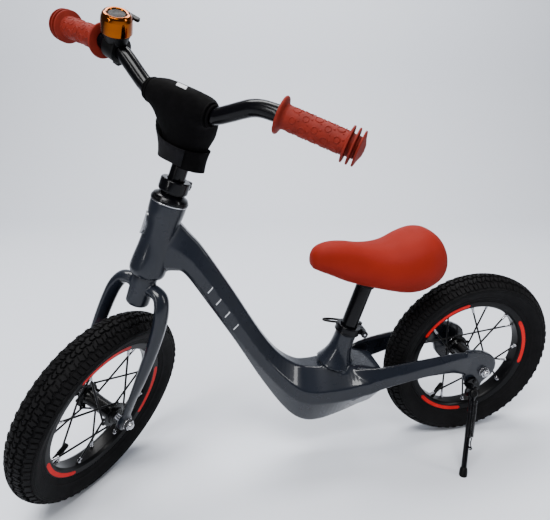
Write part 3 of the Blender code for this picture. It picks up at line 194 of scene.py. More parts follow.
GLOSS = finish_material("gloss_black", (0.0010, 0.0010, 0.0016), 0.24, coat=0.13, coat_roughness=0.06,
                        grain=0.04, grain_scale=800, wobble=0.03, vary=0.25, specular=0.08)
SATIN = finish_material("satin_black", (0.0016, 0.0016, 0.0018), 0.40, grain=0.2, grain_scale=900,
                        vary=0.3, specular=0.14)
PLASTIC = finish_material("black_plastic", (0.0013, 0.0013, 0.0015), 0.45, grain=0.35,
                          grain_scale=1100, vary=0.25, specular=0.10)
STEEL = finish_material("bearing_steel", (0.35, 0.35, 0.37), 0.25, metallic=1.0, grain=0.1, vary=0.1)
SILVER = finish_material("badge_silver", (0.70, 0.71, 0.73), 0.24, metallic=1.0, grain=0.1,
                         grain_scale=1200, vary=0.08)
GOLD = finish_material("bell_gold", (0.210, 0.050, 0.0020), 0.12, metallic=1.0, coat=0.06, grain=0.06,
                       grain_scale=900, vary=0.14, vary_scale=40)
SADDLE_SKIN = finish_material("saddle_skin", (0.182, 0.0108, 0.0058), 0.60, grain=0.30,
                              grain_scale=1300, wobble=0.05, wobble_scale=30, vary=0.10,
                              vary_scale=14, specular=0.06)
GRIP = finish_material("grip_rubber", (0.142, 0.0115, 0.0065), 0.58, grain=0.35, grain_scale=1000,
                       vary=0.14, vary_scale=70, specular=0.10)
PAD = fabric_material("pad_neoprene", (0.0011, 0.0010, 0.0012), 0.0012, 0.35, sheen=0.0)
FLAP = fabric_material("flap_loop", (0.0036, 0.0036, 0.0048), 0.0009, 0.7, sheen=0.04)
PATCH = fabric_material("patch_grey", (0.46, 0.47, 0.49), 0.0009, 0.3, sheen=0.0)


# ---------------------------------------------------------------- mesh helpers

def as_mesh(name, bm):
    mesh = bpy.data.meshes.new(name)
    bm.to_mesh(mesh)
    bm.free()
    return mesh


def placed(name, data):
    """A new object in the scene."""
    made = bpy.data.objects.new(name, data)
    bpy.context.scene.collection.objects.link(made)
    return made


def discard(made):
    old = made.data
    bpy.data.objects.remove(made)
    bpy.data.meshes.remove(old)


def piece(name, bm, matrix, body, material, replaces=(), sharp=38.0):
    """Turns a mesh in matrix's frame into a smooth object with sharp edges, riding on a body."""
    mesh = as_mesh(name, bm)
    mesh.transform(matrix)
    mesh.polygons.foreach_set("use_smooth", [True] * len(mesh.polygons))
    if sharp:
        mesh.set_sharp_from_angle(angle=radians(sharp))
    made = placed(name, mesh)
    mesh.materials.append(material)
    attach(made, body)
    if replaces:
        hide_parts(*replaces)
    return made


def surface(rings, around=True, along=False, caps=True):
    """A mesh through rings of points.  along joins the last ring to the first."""
    bm = bmesh.new()
    made = [[bm.verts.new(point) for point in ring] for ring in rings]
    count = len(made[0])
    pairs = list(zip(made, made[1:] + made[:1])) if along else list(zip(made, made[1:]))
    for one, two in pairs:
        for index in range(count if around else count - 1):
            other = (index + 1) % count
            bm.faces.new((one[index], one[other], two[other], two[index]))
    if caps and around and not along:
        bm.faces.new(list(reversed(made[0])))
        bm.faces.new(made[-1])
    bmesh.ops.recalc_face_normals(bm, faces=bm.faces)
    return bm


def bend(start, corner, end, steps):
    """Points on the curve from start to end that the corner pulls outwards."""
    shares = [step / steps for step in range(steps + 1)]
    return [start * (1 - t) ** 2 + corner * 2 * t * (1 - t) + end * t * t for t in shares]


def rounded(profile, radius, steps=4, closed=True):
    """The outline with each corner turned into a curve that starts this far from the corner."""
    points = [Vector(p) for p in profile]
    count = len(points)
    result = []
    for index, corner in enumerate(points):
        before = points[index - 1] - corner
        after = points[(index + 1) % count] - corner
        if not closed and index in (0, count - 1) or before.angle(after, 0) > radians(172):
            result.append(corner)
            continue
        reach = min(radius, before.length * 0.45, after.length * 0.45)
        result += bend(corner + before.normalized() * reach, corner,
                       corner + after.normalized() * reach, steps)
    return result


def lathe(profile, sides=64, closed=True, along="Z", radius=0.0, steps=4):
    """Turns (radius, height) pairs in millimetres round an axis; closed joins the outline's ends."""
    if radius:
        profile = rounded(profile, radius, steps, closed)
    rings = []
    for r, h in profile:
        ring = oval(max(r, 0.0), sides=sides)
        rings.append([Vector((c, s, h) if along == "Z" else (c, h, s)) * MM for c, s in ring])
    bm = surface(rings, along=closed, caps=False)
    bmesh.ops.remove_doubles(bm, verts=bm.verts, dist=1e-6)
    bmesh.ops.recalc_face_normals(bm, faces=bm.faces)
    return bm


def turned(profile, sides=64, **rest):
    """A turned solid: flat faces close the first and last heights on the axis."""
    profile = [(0, profile[0][1]), *profile, (0, profile[-1][1])]
    return lathe(profile, sides, closed=False, **rest)


def rows_through(rows, per):
    """Rows of numbers on a smooth curve through the given rows."""
    table = np.array(rows, float)
    made = []
    last = len(table) - 1
    for index in range(last):
        p0, p1 = table[max(index - 1, 0)], table[index]
        p2, p3 = table[index + 1], table[min(index + 2, last)]
        for step in range(per):
            t = step / per
            made.append((p1 * 2 + (p2 - p0) * t + (p0 * 2 - p1 * 5 + p2 * 4 - p3) * t * t
                         + (p1 * 3 - p0 - p2 * 3 + p3) * t ** 3) * 0.5)
    made.append(table[last])
    return made


def sweep(points, section, up=Vector((0, 1, 0)), loop=False):
    """Carries a section along points, in millimetres: (across, up) pairs or a function of the index."""
    points = [Vector(p) for p in points]
    rings = []
    count = len(points)
    for index, point in enumerate(points):
        before = points[index - 1] if index or loop else points[0]
        after = points[(index + 1) % count] if loop or index < count - 1 else points[-1]
        ahead = (after - before).normalized()
        across = up.cross(ahead).normalized()
        rise = ahead.cross(across).normalized()
        pairs = section(index) if callable(section) else section
        rings.append([(point + across * a + rise * b) * MM for a, b in pairs])
    return surface(rings, along=loop, caps=not loop)


def oval(a, b=None, sides=24):
    b = a if b is None else b
    return [(a * cos(2 * pi * k / sides), b * sin(2 * pi * k / sides))
            for k in range(sides)]


def rod(radius, low, high, sides=32, along="Z", edge=0.4):
    return turned([(radius, low), (radius, high)], sides, along=along, radius=edge, steps=3)


def cross_rod(radius, half, sides, x, z, edge=0.4):
    """A rod along y, half its length to each side of the middle plane."""
    return moved(rod(radius, -half, half, sides, "Y", edge), shift(x, 0, z))


def block(size, centre, edge=0.8):
    bm = bmesh.new()
    bmesh.ops.create_cube(bm, size=1.0)
    bmesh.ops.scale(bm, vec=Vector(size) * MM, verts=bm.verts)
    bmesh.ops.translate(bm, vec=Vector(centre) * MM, verts=bm.verts)
    bmesh.ops.bevel(bm, geom=bm.edges[:], offset=edge * MM, segments=3, affect="EDGES", profile=0.6)
    return bm


def moved(bm, matrix):
    bmesh.ops.transform(bm, matrix=matrix, verts=bm.verts)
    return bm


def joined(*parts):
    """Several closed shells in one mesh."""
    whole = bmesh.new()
    for part in parts:
        mesh = as_mesh("part", part)
        whole.from_mesh(mesh)
        bpy.data.meshes.remove(mesh)
    return whole


def scratch(bm):
    return placed("scratch", as_mesh("scratch", bm))


def baked(holder):
    """The object's mesh with its modifiers applied; the object goes."""
    bpy.context.view_layer.update()
    graph = bpy.context.evaluated_depsgraph_get()
    mesh = bpy.data.meshes.new_from_object(holder.evaluated_get(graph))
    discard(holder)
    return mesh


def as_bm(mesh):
    bm = bmesh.new()
    bm.from_mesh(mesh)
    bpy.data.meshes.remove(mesh)
    return bm


def solid(bm, tools, operation="UNION", solver="EXACT"):
    """Boolean of one shape with each tool in turn."""
    for tool in tools:
        holder = scratch(bm)
        other = scratch(tool)
        step = holder.modifiers.new("join", "BOOLEAN")
        step.operation = operation
        step.solver = solver
        step.object = other
        bm = as_bm(baked(holder))
        discard(other)
    return bm


def refined(bm):
    holder = scratch(bm)
    holder.modifiers.new("fine", "SUBSURF").levels = 1
    return as_bm(baked(holder))


def layers(outline, offsets):
    """A slab: the same outline, in millimetres, at each offset."""
    return surface([[(p + Vector(offset)) * MM for p in outline] for offset in offsets])


def melted(bm, voxel, smoothing):
    """Overlapping shells become one skin with soft fillets where they meet."""
    holder = scratch(bm)
    step = holder.modifiers.new("melt", "REMESH")
    step.mode = "VOXEL"
    step.voxel_size = voxel * MM
    step = holder.modifiers.new("soften", "SMOOTH")
    step.factor = 0.5
    step.iterations = smoothing
    return as_bm(baked(holder))


def laid_on(under, rows, direction, lift=0.18, sink=0.4):
    """A thin solid on a surface: every start point is cast along direction onto it."""
    tree = BVHTree.FromBMesh(under)
    above, below = [], []
    for row in rows:
        hits = [tree.ray_cast(point * MM, direction)[:2] for point in row]
        above.append([hit + normal * lift * MM for hit, normal in hits])
        below.append([hit - normal * sink * MM for hit, normal in hits])
    return surface([[row[k] for row in above] + [row[k] for row in reversed(below)]
                    for k in range(len(rows[0]))])


def toward(direction, side=Vector((0, 1, 0))):
    """Turn that takes Z along direction."""
    z = Vector(direction).normalized()
    x = side.cross(z).normalized()
    return Matrix((x, z.cross(x), z)).transposed().to_4x4()


def hexagon(width, low, high, bore):
    """Hex nut with a turned chamfer at its outer end, in millimetres, Z outwards."""
    radius = width / sqrt(3)
    prism = surface([[Vector((x, y, h)) * MM for x, y in oval(radius, sides=6)] for h in (low, high)])
    bmesh.ops.bevel(prism, geom=prism.edges[:], offset=0.25 * MM, segments=2, affect="EDGES")
    cone = turned([(radius + 1, low - 1), (radius + 1, high - 1.6), (width / 2 - 0.6, high + 0.1)], 48)
    made = solid(prism, [cone], "INTERSECT")
    return solid(made, [rod(bore, low - 2, high + 2)], "DIFFERENCE")


def threaded(radius, low, high, pitch=1.0):
    """Bolt end along y, with turned grooves standing for its thread."""
    profile = [(radius, low)]
    z = low + pitch
    while z < high - pitch:
        profile += [(radius, z), (radius - 0.45, z + pitch * 0.5)]
        z += pitch
    profile += [(radius, high - 0.9), (radius - 0.7, high)]
    return turned(profile, 32, along="Y")


def polar(radius, angle, y):
    """A point round an axle, from millimetres."""
    return Vector((radius * cos(angle), y, radius * sin(angle))) * MM


# ---------------------------------------------------------------- wheels

VALVE_AT = 270
REAR_TURN = -32.2
FRONT_TURN = -48.0
DECAL_ARCS = ((-2.3, 47.7), (111.4, 160.9), (238.0, 288.3))
PITCH_PAIRS = 60
KNOB = 3.0
SPOKES_A_SIDE = 8
SPOKE_RADIUS = 1.5
WASHER_RADIUS = 7.9
TUBE_MIDDLE = 128
TUBE_RADIUS = 16
# Outside of the tyre from the crown down to the bead: radius, distance from the middle plane.
FLANK = ((138, 24.3), (133, 25.4), (126, 22.8), (117, 18.4), (110.6, 14.9), (108.4, 13.5))
LINING = ((146.4, 0), (143, 12), (135, 20.3), (127, 19.3), (116, 14.4), (110, 8))
# Columns of one pair of tread pitches.  Blocks stand between the gaps.
COLUMNS = (-0.075, -0.045, 0.045, 0.075, 0.175, 0.205, 0.295, 0.325,
           0.425, 0.455, 0.545, 0.575, 0.675, 0.705, 0.795, 0.825)
GAPS_EVEN = (-0.045, 0.045, 0.455, 0.545)
GAPS_ODD = (0.205, 0.295, 0.705, 0.795)
# Rows of the tread: distance round the section from the crown, band, sideways zigzag.
TREAD_ROWS = (
    (0.0, "centre", 0.0), (3.2, "centre", 0.9), (4.4, "low", 1.1), (6.0, "low", 1.1),
    (7.2, "middle", 1.1), (10.5, "middle", 0.7), (14.0, "middle", 1.2), (15.2, "low", 1.3),
    (17.2, "low", 1.3), (18.4, "shoulder", 1.2), (22.5, "shoulder", 0.6), (26.2, "shoulder", 0.2),
    (28.6, "edge", 0.0),
)
SIDEWALL_ROWS = ((30.0, 0.9), (31.2, 0.3), (32.4, 0.9), (33.6, 0.2), (34.8, 0.7), (36.0, 0.1),
                 (39.0, 0.0), (43.0, 0.0), (47.0, 0.2), (50.5, 0.7), (52.0, 0.1), (53.5, 0.7),
                 (57.0, 0.3))


def tyre_outline():
    """Dense outline of the tyre from its crown to its bead, and how far along it each point is."""
    middle = TYRE_RADIUS - TYRE_HALF_WIDTH
    rows = []
    for degrees in range(0, 45, 4):
        angle = radians(degrees)
        rows.append((middle + TYRE_HALF_WIDTH * cos(angle), TYRE_HALF_WIDTH * sin(angle)))
    table = np.array(rows_through(rows + list(FLANK), 6))
    steps = np.linalg.norm(np.diff(table, axis=0), axis=1)
    return table, np.concatenate(([0.0], np.cumsum(steps)))


def tyre_point(outline, along, inset=0.0):
    """Radius and half width this far round the section, pushed into the rubber by inset."""
    table, length = outline
    here = np.array([np.interp(along, length, table[:, k]) for k in (0, 1)])
    ahead = np.array([np.interp(along + 0.5, length, table[:, k]) for k in (0, 1)])
    back = np.array([np.interp(max(along - 0.5, 0), length, table[:, k]) for k in (0, 1)])
    run = ahead - back
    run /= max(np.linalg.norm(run), 1e-9)
    return here + inset * np.array([-run[1], run[0]])


def block_inset(band, column):
    """How far below the tread's outside this corner lies."""
    if band in ("low", "edge"):
        return KNOB if band == "low" else KNOB * 0.75
    gaps = GAPS_ODD if band == "middle" else GAPS_EVEN
    if column in gaps:
        return KNOB
    if band == "shoulder":
        return 0.0 if 0.06 < column < 0.44 else 1.1
    return 0.0 if band == "centre" else 0.25


def block_skew(along):
    """Slant of the blocks, as a share of a pitch pair."""
    if along < 5:
        return 0.02 * along
    if along < 16:
        return 0.10 - 0.018 * (along - 5)
    return -0.05 + 0.007 * (along - 16)


def add_tyre(prefix, wheel, body):
    outline = tyre_outline()
    edge = RIM_EDGE + 0.3
    bead = [(edge, RIM_HALF), (edge, RIM_HALF - 2.6), (RIM_BED + 6.5, 8.6), (RIM_BED + 6.5, 6)]
    inside = bead + [(r, y) for r, y in reversed(LINING)]
    rings = []
    step_round = 2 * pi / PITCH_PAIRS
    for pair in range(PITCH_PAIRS):
        for column in COLUMNS:
            ring = []
            for side in (1, -1):
                late = 0.25 if side < 0 else 0.0
                half = []
                for along, band, zigzag in TREAD_ROWS:
                    swing = zigzag if 0.0 < column < 0.5 else -zigzag
                    r, y = tyre_point(outline, along + swing, block_inset(band, column))
                    angle = (pair + column + block_skew(along) + late) * step_round
                    half.append(polar(r, angle, side * y))
                angle = (pair + column + block_skew(28) + late) * step_round
                for along, inset in SIDEWALL_ROWS:
                    r, y = tyre_point(outline, along, inset)
                    half.append(polar(r, angle, side * y))
                for r, y in inside:
                    half.append(polar(r, angle, side * y))
                ring.append(half)
            left_half, right_half = ring
            rings.append(left_half + list(reversed(right_half[1:-1])))
    bm = surface(rings, along=True)
    piece(prefix + "_tyre_skin", bm, wheel, body, TYRE, [prefix + "_tyre"], sharp=30)


def valve_place():
    return spun(-VALVE_AT, "Y") @ toward((-1, 0, 0))


def rim_outline():
    half = [(RIM_BED, 8.2), (RIM_BED + 0.8, 9.4), (98.5, 12.2), (RIM_EDGE - 1.2, RIM_HALF),
            (RIM_EDGE, RIM_HALF), (RIM_EDGE, RIM_HALF - 2), (RIM_BED + 4, 8.5)]
    return half + [(r, -y) for r, y in reversed(half)]


def add_rim(prefix, wheel, body):
    rim = lathe(rim_outline(), 180, along="Y", radius=0.7, steps=3)
    place = valve_place()
    rim = solid(rim, [moved(rod(4.6, -(RIM_BED + 8), -(RIM_BED - 5), 24), place)], "DIFFERENCE")
    piece(prefix + "_rim_hoop", rim, wheel, body, RIM, [prefix + "_rim"])
    strips = []
    for side in (1, -1):
        for start, end in DECAL_ARCS:
            rings = []
            for share in np.linspace(0, 1, 29):
                angle = radians(start + (end - start) * share)
                tip = min(1.0, 0.35 + min(share, 1 - share) * 30)
                ring = []
                for r, lift in ((103.6 - 2.9 * tip, -0.1), (103.6 - 2.9 * tip, 0.16),
                                (103.6 + 2.9 * tip, 0.16), (103.6 + 2.9 * tip, -0.1)):
                    y = 12.2 + (r - 98.5) * 0.132 + lift
                    ring.append(polar(r, angle, side * y))
                rings.append(ring)
            strips.append(surface(rings))
    piece(prefix + "_rim_decals", joined(*strips), wheel, body, DECAL)


def add_hub(prefix, wheel, body):
    half = [(19, 27), (18.2, 27.4), (13, 28), (12, 31), (10, 31), (10, 24), (5.5, 24)]
    near = [(r, -y) for r, y in reversed(half)]
    barrel = [(19, -26), (14.5, -25.4), (12.2, -22.5), (11.4, -18), (11.0, 0), (11.4, 18), (12.2, 22.5),
              (14.5, 25.4), (19, 26)]
    shell = lathe(half + near + barrel, 72, along="Y", radius=0.5, steps=3)
    piece(prefix + "_hub_shell", shell, wheel, body, HUB, [prefix + "_hub"])
    for word, side in (("left", 1), ("right", -1)):
        ring = [(9.7, 24.3), (9.7, 30.6), (8.6, 31.5), (6.5, 31.5), (4.3, 31.5), (4.3, 24.3)]
        bearing = lathe([(r, side * y) for r, y in ring], 48, along="Y", radius=0.3, steps=2)
        piece(f"{prefix}_bearing_seal_{word}", bearing, wheel, body, PLASTIC,
              [f"{prefix}_bearing_{word}"])


def spoke_ends(side, index):
    """Hub end and rim end of a spoke, as in the CAD."""
    lean = 75 if index % 2 else -75
    rim_angle = radians(index * 360 / SPOKES_A_SIDE + (0 if side > 0 else 22.5) + 7.6)
    hub_angle = rim_angle + radians(lean)
    hub_y = side * (25 + (0.1 if index % 2 else 0.9))
    start = Vector((20.4 * cos(hub_angle), hub_y, 20.4 * sin(hub_angle)))
    reach = RIM_BED - 0.8
    end = Vector((reach * cos(rim_angle), side * 5.0, reach * sin(rim_angle)))
    return start, end


def add_spokes(prefix, wheel, body):
    for word, side in (("left", 1), ("right", -1)):
        spokes = []
        nipples = []
        for index in range(SPOKES_A_SIDE):
            start, end = spoke_ends(side, index)
            ahead = end - start
            place = shift(*start) @ toward(ahead)
            length = ahead.length
            wire = turned([(SPOKE_RADIUS, 0), (SPOKE_RADIUS, length)], 14, radius=0.3)
            spokes.append(moved(wire, place))
            root = start - ahead.normalized() * SPOKE_RADIUS
            head = turned([(2.0, -1.6), (2.4, -0.6), (2.4, 0.6), (2.0, 1.6)], 16, along="Y", radius=0.4)
            spokes.append(moved(head, shift(*root)))
            profile = [(1.7, length - 10.5), (2.0, length - 9.8), (2.0, length - 3),
                       (2.9, length - 2.0), (2.9, length)]
            nipples.append(moved(turned(profile, 16, radius=0.3), place))
        piece(f"{prefix}_spoke_wires_{word}", joined(*spokes), wheel, body, SPOKE,
              [f"{prefix}_spokes_{word}"])
        piece(f"{prefix}_nipples_{word}", joined(*nipples), wheel, body, BRIGHT)


def add_tube_and_valve(prefix, wheel, body):
    section = [(TUBE_MIDDLE + x, y) for x, y in oval(TUBE_RADIUS, sides=20)]
    low = -(TUBE_MIDDLE - TUBE_RADIUS + 1.5)
    profile = [(4.2, low), (4.2, low + 14), (3.7, low + 17), (3.4, low + 31)]
    stem = moved(turned(profile, 28, radius=0.6), valve_place())
    tube = joined(lathe(section, 96, along="Y"), stem)
    piece(prefix + "_tube_and_valve", tube, wheel, body, TYRE, [prefix + "_inner_tube"])
    profile = [(0, low + 30), (3.0, low + 30), (3.9, low + 31), (3.9, low + 44), (3.2, low + 47),
               (0, low + 48)]
    cap = moved(lathe(profile, 24, closed=False, radius=0.5), valve_place())
    piece(prefix + "_valve_dust_cap", cap, wheel, body, PLASTIC, [prefix + "_valve_cap"])


def add_wheel(prefix, hub_frame, turn):
    wheel = hub_frame @ spun(turn, "Y")
    body = prefix + "_wheel"
    add_tyre(prefix, wheel, body)
    add_rim(prefix, wheel, body)
    add_hub(prefix, wheel, body)
    add_spokes(prefix, wheel, body)
    add_tube_and_valve(prefix, wheel, body)


def add_axle_set(prefix, hub_frame, outer_face, body):
    end = outer_face + 8.2
    axle = threaded(3.95, 0, end)
    mirror = moved(threaded(3.95, 0, end), spun(180, "X"))
    piece(prefix + "_axle_bolt", joined(axle, mirror), hub_frame, body, BRIGHT, [prefix + "_axle"])
    for word, side in (("left", 1), ("right", -1)):
        low = outer_face + 0.3
        place = spun(-90 * side, "X")
        washer = lathe([(WASHER_RADIUS, low), (WASHER_RADIUS, low + 1.4), (AXLE_HOLE, low + 1.4),
                        (AXLE_HOLE, low)], 48, radius=0.3)
        notches = [moved(block((1.6, 0.8, 1.9), (WASHER_RADIUS - 0.2, 0, low + 0.9), edge=0.1),
                         spun(step * 15, "Z")) for step in range(24)]
        washer = moved(joined(washer, *notches), place)
        piece(f"{prefix}_serrated_washer_{word}", washer, hub_frame, body, BRIGHT,
              [f"{prefix}_axle_washer_{word}"])
        nut = hexagon(14.0, low + 1.8, low + 7.0, 4.2)
        crown = lathe([(0, low + 6.6), (5.6, low + 6.6), (5.5, low + 8.4), (4.4, low + 10.2),
                       (2.2, low + 11.2), (0, low + 11.4)], 40, closed=False, radius=0.6)
        piece(f"{prefix}_hex_nut_{word}", moved(joined(nut, crown), place), hub_frame, body, BRIGHT,
              [f"{prefix}_axle_nut_{word}"], sharp=30)


# ---------------------------------------------------------------- frame

SPINE = (
    (486, 436, 506, 352, 10, 17, 16, 8, 0.50, 0.86), (462, 404, 484, 352, 8, 17, 15, 8, 0.50, 0.86),
    (443, 379, 470, 345, 7, 18, 15, 8, 0.52, 0.86), (405, 315, 441, 298, 7, 20, 16, 9, 0.50, 0.84),
    (363, 241, 402, 232, 8, 23, 19, 11, 0.46, 0.80), (334, 201, 362, 160, 9, 29, 27, 14, 0.36, 0.66),
    (306, 179, 325, 104, 11, 38, 35, 19, 0.33, 0.58), (284, 173, 297, 80, 14, 43, 41, 22, 0.30, 0.52),
    (258, 172, 268, 75, 18, 46, 44, 22, 0.28, 0.50), (230, 172, 232, 84, 22, 48, 47, 22, 0.28, 0.52),
    (205, 171, 205, 96, 24, 50, 49, 24, 0.24, 0.52), (184, 166, 184, 110, 26, 50, 49, 30, 0.26, 0.54),
    (168, 160, 168, 136, 26, 47, 47, 32, 0.30, 0.60),
)
STAY = (
    (222, 168, 149, 121, 110, 18, 26, 46, 30), (203, 172, 152, 131, 121, 27, 33, 49, 34),
    (186, 175, 156, 137, 128, 35, 40, 51, 38), (166, 178, 161, 144, 136, 38, 44, 53, 42),
    (138, 181, 167, 150, 144, 38, 46, 55, 43), (108, 184, 174, 156, 150, 39, 47, 56, 45),
    (78, 187, 178, 157, 152, 40, 48, 56, 47), (50, 189, 181, 155, 150, 41, 48, 54, 48),
    (24, 188, 181, 147, 140, 43, 48, 52, 49),
)
SEAT_ROOT = ((0, 16.5), (14, 16.8), (26, 18), (36, 20.5), (46, 25), (56, 31))
FRAME_VOXEL = 1.6
HEAD_OUTSIDE = ((215, 22.5), (221, 24.5), (234, 24), (262, 21.5), (290, 22), (306, 23.5), (320, 24))


def soft_outline(points, reach, steps=2):
    """Closed outline with every corner rounded, so that each section keeps the same number of points."""
    result = []
    count = len(points)
    for index, corner in enumerate(points):
        before = points[index - 1] - corner
        after = points[(index + 1) % count] - corner
        start = corner + before.normalized() * min(reach, before.length * 0.4)
        end = corner + after.normalized() * min(reach, after.length * 0.4)
        result += bend(start, corner, end, steps)
    return result


def spine_section(row):
    top = Vector((row[0], 0, row[1]))
    down = Vector((row[2], 0, row[3])) - top
    levels = [(0.0, row[4]), (row[8], row[5]), (row[9], row[6]), (1.0, row[7])]
    left = [top + down * share + Vector((0, width, 0)) for share, width in levels]
    right = [Vector((p.x, -p.y, p.z)) for p in reversed(left)]
    return [point * MM for point in soft_outline(left + right, 2.0)]


def stay_section(row, side):
    x, top, ridge, low, foot, inside, crest, outside, sole = row
    outline = [(inside, top - 5), (crest, top), (outside, ridge), (outside - 0.5, low), (sole, foot),
               (inside, foot + 6)]
    points = [Vector((x, side * y, z)) for y, z in outline]
    return [point * MM for point in soft_outline(points, 1.5)]


def dropout_outline():
    front = [(34, 190), (34, 146), (30, 132), (20, 119), (8, 113), (0, 118), (-2, 128)]
    hind = []
    for degrees in range(-50, 61, 10):
        angle = radians(180 - degrees)
        hind.append((4 + 26 * cos(angle), 157 + 26 * sin(angle)))
    return front + hind + [(4, 186), (18, 189)]


def plate(outline, low, high):
    return layers([Vector((x, 0, z)) for x, z in outline], ((0, low, 0), (0, high, 0)))


def seat_tube_place():
    return shift(*SEAT_TOP) @ spun(SEAT_TILT, "Y")


def head_place():
    """The head tube's own frame, in the bike frame: z up the steering axis, x to the front."""
    straight = axes_matrix(side_axis.cross(steer_axis).normalized(), side_axis, steer_axis,
                           Vector(JOINTS["steering_turn"]["pos_m"]))
    return BIKE.inverted() @ straight


# Where the four plain stripes sit on the down tube's left side: x, z in the bike frame.
STRIPE_PLACES = ((438, 323.5), (427, 304.5), (415, 283.5), (403, 262.5))
STRIPE_LENGTH = 10.5
STRIPE_WIDTH = 1.8
STRIPE_SLANT = 4.5
TUBE_LINE = Vector((-0.505, -0.863))           # down the tube, in the x z plane


def laid_stripe(casting, middle):
    """One slanted stripe on the casting's left side."""
    across = Vector((-TUBE_LINE.y, TUBE_LINE.x))
    rows = []
    for edge in (-0.5, -0.17, 0.17, 0.5):
        row = []
        for share in np.linspace(-0.5, 0.5, 13):
            spot = Vector(middle) + across * STRIPE_LENGTH * share
            spot += TUBE_LINE * (STRIPE_SLANT * share + STRIPE_WIDTH * edge)
            row.append(Vector((spot.x, 90, spot.y)))
        rows.append(row)
    return laid_on(casting, rows, Vector((0, -1, 0)))


def add_frame():
    parts = [surface([spine_section(row) for row in rows_through(SPINE, 5)])]
    for side in (1, -1):
        parts.append(surface([stay_section(row, side) for row in rows_through(STAY, 4)]))
        low, high = sorted((side * 43, side * 52))
        parts.append(plate(dropout_outline(), low, high))
    root = [(0, 0.0)] + [(r, -d) for d, r in rows_through(SEAT_ROOT, 4)] + [(0, -56)]
    parts.append(moved(lathe(root, 64, closed=False), seat_tube_place()))
    head = [(0, 215)] + [(r, h) for h, r in rows_through(HEAD_OUTSIDE, 4)] + [(0, 320)]
    parts.append(moved(lathe(head, 64, closed=False), head_place()))
    bm = melted(joined(*parts), FRAME_VOXEL, 3)
    bores = [moved(rod(20, 210, 325, 48), head_place()),
             moved(rod(13.1, -118, 8, 48), seat_tube_place()),
             cross_rod(AXLE_HOLE, 80, 24, 0, TYRE_RADIUS)]
    bm = solid(bm, bores, "DIFFERENCE", "MANIFOLD")
    stripes = joined(*(laid_stripe(bm, middle) for middle in STRIPE_PLACES))
    piece("frame_casting", bm, BIKE, "frame", PAINT, ["frame"], sharp=50)
    piece("down_tube_stripes", stripes, BIKE, "frame", STRIPE, sharp=0)


def add_head_parts():
    for name, low in (("lower_headset_bearing", 216), ("upper_headset_bearing", 310)):
        ring = lathe([(19.7, low), (19.7, low + 9), (14.6, low + 9), (14.6, low)], 48, radius=0.5)
        piece(name + "_race", moved(ring, head_place()), BIKE, "frame", STEEL, [name])
    line = [(24.0, 318.6), (24.55, 318.8), (24.55, 320.1), (20.2, 320.1), (20.2, 318.6)]
    line = lathe(line, 96, radius=0.2)
    piece("head_tube_bright_ring", moved(line, head_place()), BIKE, "frame", BRIGHT)
    # A plain oval plate with a raised border and one smooth ridge, standing for a head badge.
    rings = []
    outer = 22.2
    for step in range(17):
        along = cos(pi * step / 16)
        height = 284 - 16 * along
        half = 9.5 * sqrt(max(0.02, 1 - along * along))
        arc = []
        for k in range(-6, 7):
            angle = k / 6 * half / outer
            rim = 1.7 - 0.5 * (abs(k) < 5) * (abs(along) < 0.86) + 0.5 * exp(-(k / 2.2) ** 2)
            arc.append((outer + rim, angle))
        for k in range(6, -7, -1):
            arc.append((outer - 0.6, k / 6 * half / outer))
        rings.append([Vector((r * cos(a), r * sin(a), height)) * MM for r, a in arc])
    badge = moved(surface(rings), head_place())
    piece("plain_head_badge", badge, BIKE, "frame", SILVER, ["head_badge"])


# ---------------------------------------------------------------- seat

SADDLE = (
    (84, 332, 344, 12), (87, 323, 361, 32), (96, 311, 377, 45), (111, 303, 386, 53), (128, 298, 387, 56),
    (148, 297, 381, 54), (170, 300, 372, 47), (192, 304, 369, 38), (216, 310, 370, 31),
    (240, 318, 374, 28), (260, 327, 375, 24.5), (276, 333.5, 372, 20), (286, 338, 366, 14),
    (291, 343, 357, 6),
)
POST_RADIUS = 12.7
# The clamp's bolt crosses behind the tube, at this x and z from the tube's top.
CLAMP_X = -24
CLAMP_Z = 6.5


def saddle_ring(row):
    x, edge, crown, half = row
    height = crown - edge
    points = []
    for degrees in range(-62, 89, 6):
        angle = radians(degrees)
        if degrees > 0:
            z = edge + height * (0.42 + 0.58 * sin(angle))
        else:
            z = edge + height * 0.42 * (1 + sin(angle) / sin(radians(62)))
        y = half * max(cos(angle), 0.0) ** 0.8
        points.append((y, z))
    ring = [Vector((x, y, z)) * MM for y, z in points]
    ring.append(Vector((x, 0, crown)) * MM)
    ring += [Vector((p.x, -p.y, p.z)) for p in reversed(ring[:-1])]
    return ring


def add_saddle():
    rows = rows_through(SADDLE, 5)
    skin = refined(swollen(surface([saddle_ring(row) for row in rows]), 2.6, 3.0, 0.0012))
    made = piece("saddle_skin", skin, BIKE, "seat", SADDLE_SKIN, ["saddle_cover"], sharp=0)
    # The moulded lip that runs round the saddle's lower edge, tucked under the padding.
    path = []
    for x, edge, crown, half in rows:
        if x < 288:
            path.append((x, half * 0.53, edge + (crown - edge) * 0.07))
    loop = [Vector(p) for p in path] + [Vector((p[0], -p[1], p[2])) for p in reversed(path)]
    lip = sweep(loop, oval(1.2, 1.6, 10), up=Vector((0, 0, 1)), loop=True)
    piece("saddle_lower_lip", lip, BIKE, "seat", SADDLE_SKIN, sharp=0)


